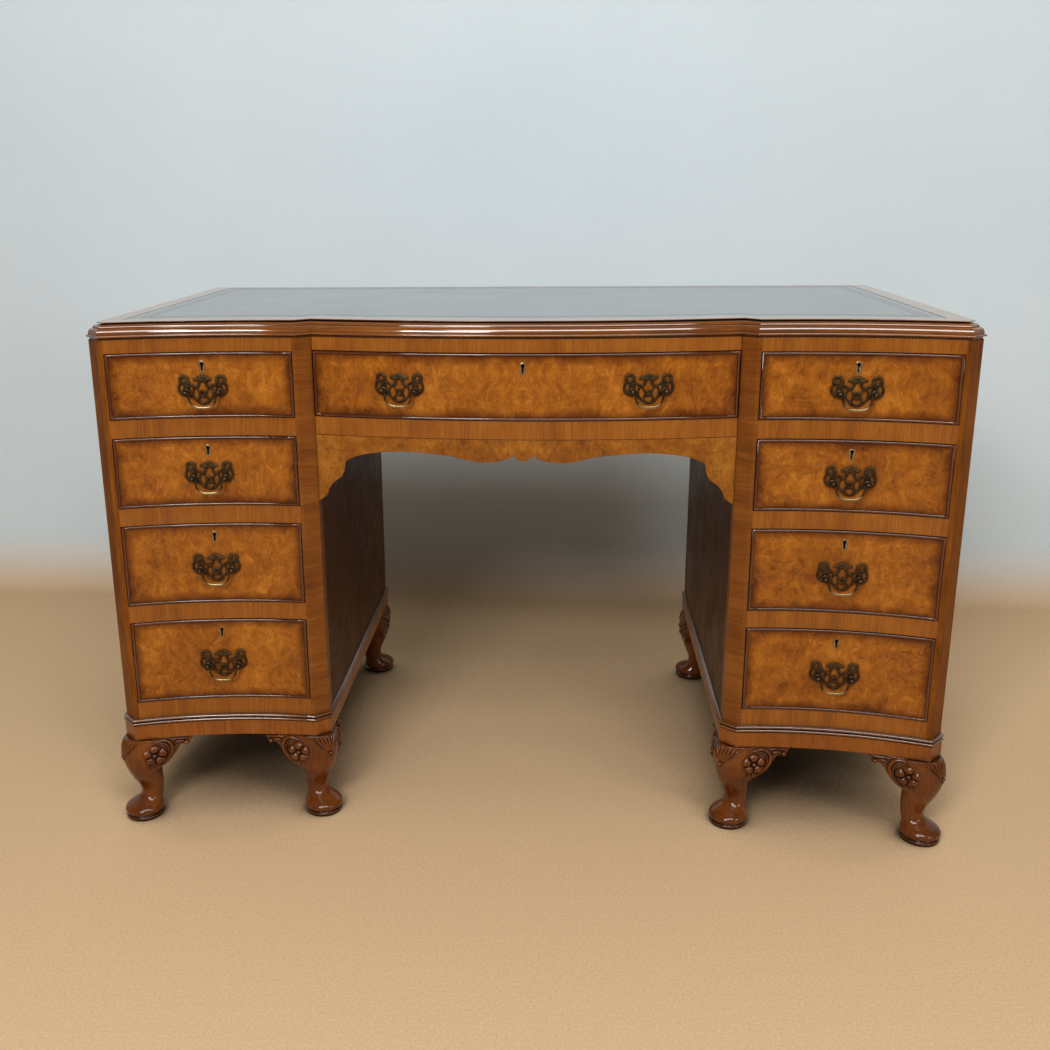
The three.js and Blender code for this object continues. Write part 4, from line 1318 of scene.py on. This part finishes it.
# A leaf curls round the flower and runs out along the bracket: path, half width, relief
LEAF = (
    (46, 139), (55, 142.6), (64, 141.6), (70, 135.6), (72, 127), (70, 117.5), (65, 109), (58, 102), (52, 97),
)
BRACKET_STROKES = (
    (LEAF, 3, 4.4),
    (((55.5, 137.5), (62.5, 136.6), (66.8, 130.5), (67.4, 122), (64.6, 113), (59.5, 106.4)), 1.7, 3),
    (((70, 141.5), (78, 142.6), (86, 141.6), (93, 142.6), (99.5, 144)), 2, 2.2),
    (((74, 134.5), (79, 137.6), (85, 137.4), (90.5, 134.6)), 2.4, 3.6),
    (((73.5, 126), (76.5, 131), (80.5, 133.4)), 1.5, 1.9),
    (((47.5, 102), (46.2, 97), (44.6, 92)), 1.9, 2.3),
    (((41, 101), (38.6, 96.5), (37.4, 91.5)), 1.5, 1.8),
)
KNEE_BORDER = ((22, 144), (19, 137), (13.5, 128.5), (6.5, 120.5), (2.6, 115), (0.8, 108))
# Half width and relief
KNEE_BORDER_SIZE = (1.3, 1.5)
FLUTES = 7
FLUTE_SPREAD = 5.4
FLUTE_SIZE = (2.1, 1.9)
# Height of each point of a flute, and how far apart the flutes are there
FLUTE_LINE = ((145, FLUTE_SPREAD), (133, FLUTE_SPREAD * 0.72), (119.5, 1.2))
FLUTE_FALL = 0.4
STROKE_STEPS = 8
STROKE_ROOT = 0.6
# Where on half a sine wave a stroke's swelling starts, how far along it runs, and its fullness
STROKE_START, STROKE_RUN, STROKE_FULLNESS = 0.1, 0.82, 0.6


def boss(piece, surface, centre, profile, size, spokes, petals=0):
    """A round ornament: the profile turned about its centre and notched between its petals."""
    rows = []
    for radius, height, cut in profile:
        row = []
        for turn in circle(spokes):
            lobe = abs(math.cos(petals * (turn - math.pi / 2) / 2)) ** 0.5
            reach = radius * size * (1 - PETAL_NOTCH * cut * (1 - lobe))
            relief = height * size * (1 - PETAL_CUT * cut * (1 - lobe) * (height > 0))
            x, z = centre[0] + reach * math.cos(turn), centre[1] + reach * math.sin(turn)
            row.append(surface(x, z, relief))
        rows.append(row)
    piece.strip(rows, closed=True)


def stroke(piece, surface, path, width, height, steps=5):
    """A rounded ridge along a path on a surface, tapered at both ends."""
    line = spline(path, steps)
    rows = []
    for i, (x, z) in enumerate(line):
        along = heading(line, i)
        share = STROKE_START + STROKE_RUN * i / (len(line) - 1)
        swell = math.sin(math.pi * share) ** STROKE_FULLNESS
        row = []
        for turn in spread(0, math.pi, STROKE_STEPS):
            side = width * swell * math.cos(turn)
            relief = (height * math.sin(turn) + STROKE_ROOT) * swell - STROKE_ROOT
            row.append(surface(x - along.y * side, z + along.x * side, relief))
        rows.append(row)
    piece.strip(rows)
    for end in (0, -1):
        piece.cap(rows[end])


def carve_bracket(piece, surface):
    """The leaves, the scroll's bead and the flower."""
    for path, width, height in BRACKET_STROKES:
        stroke(piece, surface, path, width, height)
    centre, size, spokes = SCROLL_BEAD
    boss(piece, surface, centre, BEAD, size, spokes)
    boss(piece, surface, FLOWER_PLACE, FLOWER, 1, FLOWER_POINTS, PETALS)


def carve_knee(piece):
    """Flutes that fan from the corner's bead up to the plinth, inside a scrolled border."""
    for k in range(FLUTES):
        side = k - (FLUTES - 1) / 2
        (top, reach), *lower = FLUTE_LINE
        start = (side * reach, top - FLUTE_FALL * abs(side))
        path = [start, *[(side * apart, z) for z, apart in lower]]
        stroke(piece, knee_surface, path, *FLUTE_SIZE)
    for sign in (-1, 1):
        stroke(piece, knee_surface, [(u * sign, z) for u, z in KNEE_BORDER], *KNEE_BORDER_SIZE)
    for centre, size, spokes in KNEE_BEADS:
        boss(piece, knee_surface, centre, BEAD, size, spokes)


def leg_ornament(name, lean):
    piece = Piece(name)
    carve_bracket(piece, bracket_surface(lean, False))
    carve_bracket(piece, bracket_surface(0, True))
    carve_knee(piece)
    return piece


def leg_master(name, lean):
    """A whole leg about its own corner, as a mesh in metres."""
    skin = remeshed(leg_body(f"{name}_skin", lean).make([CARVED], centred=False))
    ornament = leg_ornament(f"{name}_ornament", lean).make([CARVED], centred=False, crisp=CAST_CRISP)
    mesh = merged(name, [mesh_alone(skin), mesh_alone(ornament)])
    mesh.materials.append(CARVED)
    sharpen(mesh, CAST_CRISP)
    return mesh


def build_legs():
    start = -(HALF_WIDTH - CANT)
    tip = -HALF_WIDTH + BRACKET_TIP
    lean = (FACES["left"].y(tip) - FACES["left"].y(start)) / (tip - start)
    straight = leg_master("leg_straight", 0)
    leaning = leg_master("leg_leaning", lean)
    places = (
        ("outer_front", -HALF_WIDTH, 0, 1, 1, leaning),
        ("inner_front", -KNEEHOLE_HALF, INNER_CORNER_SETBACK, -1, 1, straight),
        ("outer_rear", -HALF_WIDTH, BODY_DEPTH, 1, -1, straight),
        ("inner_rear", -KNEEHOLE_HALF, BODY_DEPTH, -1, -1, straight),
    )
    for side, sign in (("left", 1), ("right", -1)):
        for spot, x, y, turn_x, turn_y, master in places:
            mesh = master.copy()
            turn = Matrix.Diagonal((turn_x * sign, turn_y, PLINTH_BASE / LEG_TOP, 1))
            mesh.transform(Matrix.Translation(place((x * sign, y, 0))) @ turn)
            if turn_x * sign * turn_y < 0:
                mesh.flip_normals()
            leg = add_object(f"{side}_{spot}_leg_carved", mesh)
            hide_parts(f"{side}_{spot}_leg")


# Handles, drawn about the line through their posts, with +Y into the drawer

POST_PLACE = 23.5
BALL_REACH = 10.2
BALL = 4.2
PLATE_THICKNESS = 1.5
PLATE_EDGE = 0.45
# Right half of the plate's outline, from the crest down to the lowest point
PLATE_OUTLINE = (
    (0, 24.4), (2.4, 23), (4.8, 22.7), (7.2, 21), (9.9, 20.3), (13.6, 18), (12.2, 16.9), (8.8, 16.6),
    (6.2, 14.4), (6.4, 11), (9.8, 8.2), (12.8, 9.8), (16.4, 11.6), (19, 13.4), (18.4, 16.8), (19.4, 20.8),
    (22.4, 23.4), (26.6, 24.1), (30.6, 22.9), (33.3, 20), (33.4, 15), (33, 12), (35.1, 8), (35.5, 3),
    (33.6, -2), (29.4, -5.4), (23.5, -6.6), (17.8, -6.2), (14.2, -8.4), (11, -12.4), (7, -15.9),
    (3, -17.7), (0, -18.3),
)
MIDDLE_OPENINGS = (
    ((0, 15.8), (2.6, 15), (3.4, 12), (4.6, 8.6), (7, 5.6), (6.6, 2.8), (3.2, 1.2), (0, 2)),
    ((0, 0.2), (1.9, -2.6), (0, -5.6)),
    ((0, -8.2), (3.4, -7.4), (6.2, -10), (3.8, -14), (0, -15.4)),
)
SIDE_OPENINGS = (
    ((9.8, 5.6), (13, 1.8), (13.6, -3), (11.8, -8), (9, -10.4), (6.6, -7.4), (5.4, -3.2), (7, 1.2)),
    ((16.4, 9.6), (18.9, 7), (18.7, 2), (16.2, 0), (13.9, 2.8), (13.8, 7.2)),
    ((28.4, 12.4), (31.6, 9.6), (32.8, 5.2), (31.6, 0.8), (28.8, -0.2), (27.6, 3.6), (27, 8.2)),
    ((25.4, 21), (28.6, 19.8), (29.8, 16.8), (27.6, 14.2), (24, 14.8), (22.8, 18)),
)
POST_PROFILE = (
    (4.9, 0), (4.9, 2.3), (4.5, 2.9), (3.5, 3.1), (3.3, 3.6), (2.5, 4.2), (2.2, 5.2), (2.4, 6.2), (3, 6.8),
)
POST_POINTS = 24
BALL_START = -math.radians(48)
BALL_STEPS = 9
BAIL_PATH = (
    (22, 0), (20.4, 0), (19.6, -2), (19.3, -6.2), (18.4, -11.4), (16, -16.5), (12, -19.9), (6.6, -21.5),
    (0, -21.8),
)
BAIL_RADII = (1.1, 1.15, 1.5, 1.65, 1.6, 1.6, 1.75, 2.05, 2.2)
BAIL_FLATNESS = 0.6
# The grip hangs this much nearer the plate than its pins, which clears the crest when it is thrown up
BAIL_LEAN = 0.5
BAIL_STEPS = 4
BAIL_POINTS = 14
CREST_FLUTES = ((0, 17.2, 0, 23), (2.2, 17.2, 3.6, 21.9), (4.4, 17, 7.4, 19.9), (6.6, 16.8, 11, 18.4))
# Half width, relief and steps between two points
CREST_FLUTE_SIZE = (0.9, 0.3, 3)
# How rubbed the brass is, from 0 to 1: the plate, its crest from a height up, and the bail towards its grip
PLATE_WEAR = 0.05
CREST_WEAR = 0.12
CREST_FROM = 16
BAIL_WEAR = 0.08
GRIP_FROM = 14
GRIP_FADE = 8


def whole(half_line):
    """A closed outline from its right half, whose ends lie on the middle line."""
    return [*half_line, *[(-x, z) for x, z in reversed(half_line[1:-1])]]


def pierced_sheet():
    """The flat pierced plate with rounded edges, as a mesh in metres."""
    curve = bpy.data.curves.new("plate_outline", "CURVE")
    curve.dimensions = "2D"
    curve.fill_mode = "BOTH"
    curve.extrude = (PLATE_THICKNESS / 2 - PLATE_EDGE) * MM
    curve.bevel_depth = PLATE_EDGE * MM
    curve.bevel_resolution = 1
    curve.offset = -PLATE_EDGE * MM
    left_openings = [mirrored(line) for line in SIDE_OPENINGS]
    openings = [*[whole(line) for line in MIDDLE_OPENINGS], *SIDE_OPENINGS, *left_openings]
    for line in (whole(PLATE_OUTLINE), *[list(reversed(line)) for line in openings]):
        points = spline(line, CURVE_STEPS, closed=True)
        path = curve.splines.new("POLY")
        path.points.add(len(points) - 1)
        path.use_cyclic_u = True
        for point, (x, z) in zip(path.points, points):
            point.co = (x * MM, z * MM, 0, 1)
    holder = bpy.data.objects.new("plate_outline", curve)
    mesh = bpy.data.meshes.new_from_object(holder)
    bpy.data.objects.remove(holder)
    stand = Matrix.Rotation(math.pi / 2, 4, "X")
    mesh.transform(Matrix.Translation((0, -PLATE_THICKNESS / 2 * MM, 0)) @ stand)
    return mesh


def add_post(piece, x):
    """A turned post: collar, neck and ball."""
    ball = [
        (BALL * math.cos(turn), BALL_REACH + BALL * math.sin(turn))
        for turn in spread(BALL_START, math.pi / 2, BALL_STEPS)
    ]
    rows = []
    for radius, reach in (*POST_PROFILE, *ball):
        rows.append([(x + radius * math.cos(a), -reach, radius * math.sin(a)) for a in circle(POST_POINTS)])
    piece.strip(rows, closed=True)


def plate_master():
    """A handle's plate with both its posts, as a mesh in metres."""
    piece = Piece("handle_relief")
    for sign in (-1, 1):
        add_post(piece, sign * POST_PLACE)
        for x0, z0, x1, z1 in CREST_FLUTES:
            path = ((x0 * sign, z0), ((x0 + x1) / 2 * sign, (z0 + z1) / 2), (x1 * sign, z1))
            stroke(piece, lambda x, z, relief: (x, -PLATE_THICKNESS - relief, z), path, *CREST_FLUTE_SIZE)
    relief = mesh_alone(piece.make([BRONZE], centred=False, crisp=CAST_CRISP))
    mesh = merged("handle_plate", [relief, pierced_sheet()])
    return finish_bronze(mesh, lambda p: CREST_WEAR if p.z / MM > CREST_FROM else PLATE_WEAR)


def bail_master():
    """A handle's bail, hanging from the line through its posts, as a mesh in metres."""
    half = spline([(*p, r) for p, r in zip(BAIL_PATH, BAIL_RADII)], BAIL_STEPS)
    line = [*half, *[(-x, z, r) for x, z, r in reversed(half[:-1])]]
    piece = Piece("handle_bail")
    rows = []
    for i, (x, z, radius) in enumerate(line):
        along = heading(line, i)
        lean = BAIL_LEAN * z / BAIL_PATH[-1][1]
        row = []
        for turn in circle(BAIL_POINTS):
            side, reach = radius * math.cos(turn), radius * BAIL_FLATNESS * math.sin(turn)
            row.append((x - along.y * side, lean - BALL_REACH + reach, z + along.x * side))
        rows.append(row)
    piece.tube(rows)
    mesh = mesh_alone(piece.make([BRONZE], centred=False, crisp=CAST_CRISP))
    return finish_bronze(mesh, lambda p: min(max((-p.z / MM - GRIP_FROM) / GRIP_FADE, BAIL_WEAR), 1))


def finish_bronze(mesh, wear):
    """Gives a handle's mesh its metal and its worn places."""
    mesh.materials.clear()
    mesh.materials.append(BRONZE)
    sharpen(mesh, 50)
    paint_edge(mesh, wear)
    return mesh


def build_handles():
    """A plate on each drawer and a bail on its own body, at the place of the bail's joint."""
    plate, bail = plate_master(), bail_master()
    for joint in frame["joints"]:
        if not joint["name"].endswith("_bail_hinge"):
            continue
        handle = joint["name"].removesuffix("_bail_hinge")
        across = -Vector(joint["axis"]).normalized()
        inwards = Vector((0, 0, 1)).cross(across)
        turn = Matrix((across, inwards, (0, 0, 1))).transposed().to_4x4()
        spot = Vector(joint["pos_m"]) + inwards * BALL_REACH * MM
        for master, body, ending in ((plate, joint["parent"], "plate"), (bail, joint["child"], "bail")):
            mesh = master.copy()
            mesh.transform(Matrix.Translation(spot) @ turn)
            made = add_object(f"{handle}_{ending}_cast", mesh, body)
            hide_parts(f"{handle}_handle_{ending}")


# Floor, light and camera, in metres

STAGE_HALF = 7
WALL_PLACE = 0.8
WALL_HEIGHT = 4
SWEEP = 0.12
SWEEP_STEPS = 12
CARPET_TONES = ((0.3, (0.64, 0.43, 0.24)), (0.7, (0.76, 0.52, 0.30)))
WALL_TONES = ((0.3, (0.70, 0.80, 0.85)), (0.7, (0.74, 0.84, 0.89)))
UNDER_DESK_SHADOW_REACH = 0.3
KNEEHOLE_SHADOW_REACH = 0.9
WORLD_COLOUR = (0.86, 0.88, 0.9, 1)
WORLD_STRENGTH = 0.11


def stage_material():
    """Pale beige carpet below, pale painted wall above, both with painted shadow close to the desk."""
    g = Graph("Floor")
    pile = g.noise(g.local(), 260, 4, 0.6)
    carpet, wall = g.ramp(pile, CARPET_TONES), g.ramp(g.noise(g.local(), 2, 3), WALL_TONES)
    height = g.node("SeparateXYZ", {0: g.local()}).outputs[2]
    # Painted shadow: the colour darkens beneath the pedestals and round the kneehole, where the desk shades
    # the floor and wall
    under = g.ranged(g.crevices(UNDER_DESK_SHADOW_REACH), 0.3, 0.58, 0.02, 1)
    kneehole = g.ranged(g.crevices(KNEEHOLE_SHADOW_REACH), 0.2, 0.46, 0.42, 1)
    plain = g.mix(g.ranged(height, 0.0, SWEEP), carpet, wall)
    colour = g.mix(1.0, plain, g.times(under, kneehole), "MULTIPLY")
    g.shade(Base_Color=colour, Roughness=0.95, Specular_IOR_Level=0.1, Normal=g.bump(pile, 0.3, 0.002))
    return one_sided(g)


def one_sided(g):
    """Lets the stage be seen through from its back, so that the wall never hides the desk."""
    surface_socket = g.tree.nodes["Material Output"].inputs["Surface"]
    surface = surface_socket.links[0].from_socket
    clear = g.node("BsdfTransparent").outputs[0]
    away = g.node("NewGeometry").outputs["Backfacing"]
    g.feed(surface_socket, g.node("MixShader", {0: away, 1: surface, 2: clear}).outputs[0])
    return g.material


def build_stage():
    """A plain pale floor that turns up into a pale wall, and more floor behind it."""
    bend = [
        (WALL_PLACE - SWEEP * (1 - math.sin(turn)), SWEEP * (1 - math.cos(turn)))
        for turn in spread(0, math.pi / 2, SWEEP_STEPS)
    ]
    line = [(-STAGE_HALF, 0), *bend, (WALL_PLACE, WALL_HEIGHT)]
    points = [(x, y, z) for y, z in line for x in (-STAGE_HALF, STAGE_HALF)]
    faces = [(2 * i, 2 * i + 1, 2 * i + 3, 2 * i + 2) for i in range(len(line) - 1)]
    start = len(points)
    points += [(x, y, 0) for y in (WALL_PLACE - SWEEP, STAGE_HALF) for x in (-STAGE_HALF, STAGE_HALF)]
    faces.append((start, start + 1, start + 3, start + 2))
    mesh = bpy.data.meshes.new("floor")
    mesh.from_pydata(points, [], faces)
    mesh.shade_smooth()
    mesh.materials.append(stage_material())
    floor = bpy.data.objects.new("floor", mesh)
    bpy.context.scene.collection.objects.link(floor)
    floor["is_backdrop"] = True


def build_surround():
    """A dim even light from all round."""
    world = bpy.data.worlds.new("Surround")
    bpy.context.scene.world = world
    world.use_nodes = True
    background = world.node_tree.nodes["Background"]
    background.inputs["Color"].default_value = WORLD_COLOUR
    background.inputs["Strength"].default_value = WORLD_STRENGTH


LAMP_TARGET = (0, 0, 0.5)
# Name, place, width and height, and power in watts
LAMPS = (
    ("window", (-0.9, -3.1, 2.2), (0.9, 0.7), 50),
    ("ceiling", (0.3, -2.3, 2.9), (2.2, 1.0), 63),
    ("fill", (2.6, -2.4, 1.6), (0.8, 0.8), 16),
)


def build_lights():
    for name, location, size, power in LAMPS:
        data = bpy.data.lights.new(name, "AREA")
        data.shape = "RECTANGLE"
        data.size, data.size_y = size
        data.energy = power
        lamp = bpy.data.objects.new(name, data)
        bpy.context.scene.collection.objects.link(lamp)
        lamp.location = location
        lamp.rotation_euler = (Vector(LAMP_TARGET) - Vector(location)).to_track_quat("-Z", "Y").to_euler()


CAMERA_PLACE = (0.0574, -1.8292, 0.9498)
CAMERA_YAW, CAMERA_PITCH, CAMERA_ROLL = 0.07749, 0.2711, -0.01037
CAMERA_LENS = 38.35
CAMERA_SENSOR = 36
CAMERA_SHIFT = (0.04353, -0.02273)


def build_camera():
    data = bpy.data.cameras.new("camera")
    data.sensor_width = CAMERA_SENSOR
    data.sensor_fit = "AUTO"
    data.lens = CAMERA_LENS
    data.shift_x, data.shift_y = CAMERA_SHIFT
    camera = bpy.data.objects.new("camera", data)
    bpy.context.scene.collection.objects.link(camera)
    turn = (
        Matrix.Rotation(CAMERA_YAW, 4, "Z")
        @ Matrix.Rotation(math.pi / 2 - CAMERA_PITCH, 4, "X")
        @ Matrix.Rotation(CAMERA_ROLL, 4, "Z")
    )
    camera.matrix_world = Matrix.Translation(CAMERA_PLACE) @ turn
    bpy.context.scene.camera = camera
    bpy.context.scene.view_settings.view_transform = "Standard"


build_top()
build_leather()
build_carcass()
build_legs()
build_handles()
dress_frame_nodes()
build_stage()
build_surround()
build_lights()
build_camera()

corners = {"cad": cad_bounds, "visual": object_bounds()}
{key: [list(corner) for corner in pair] for key, pair in corners.items()}
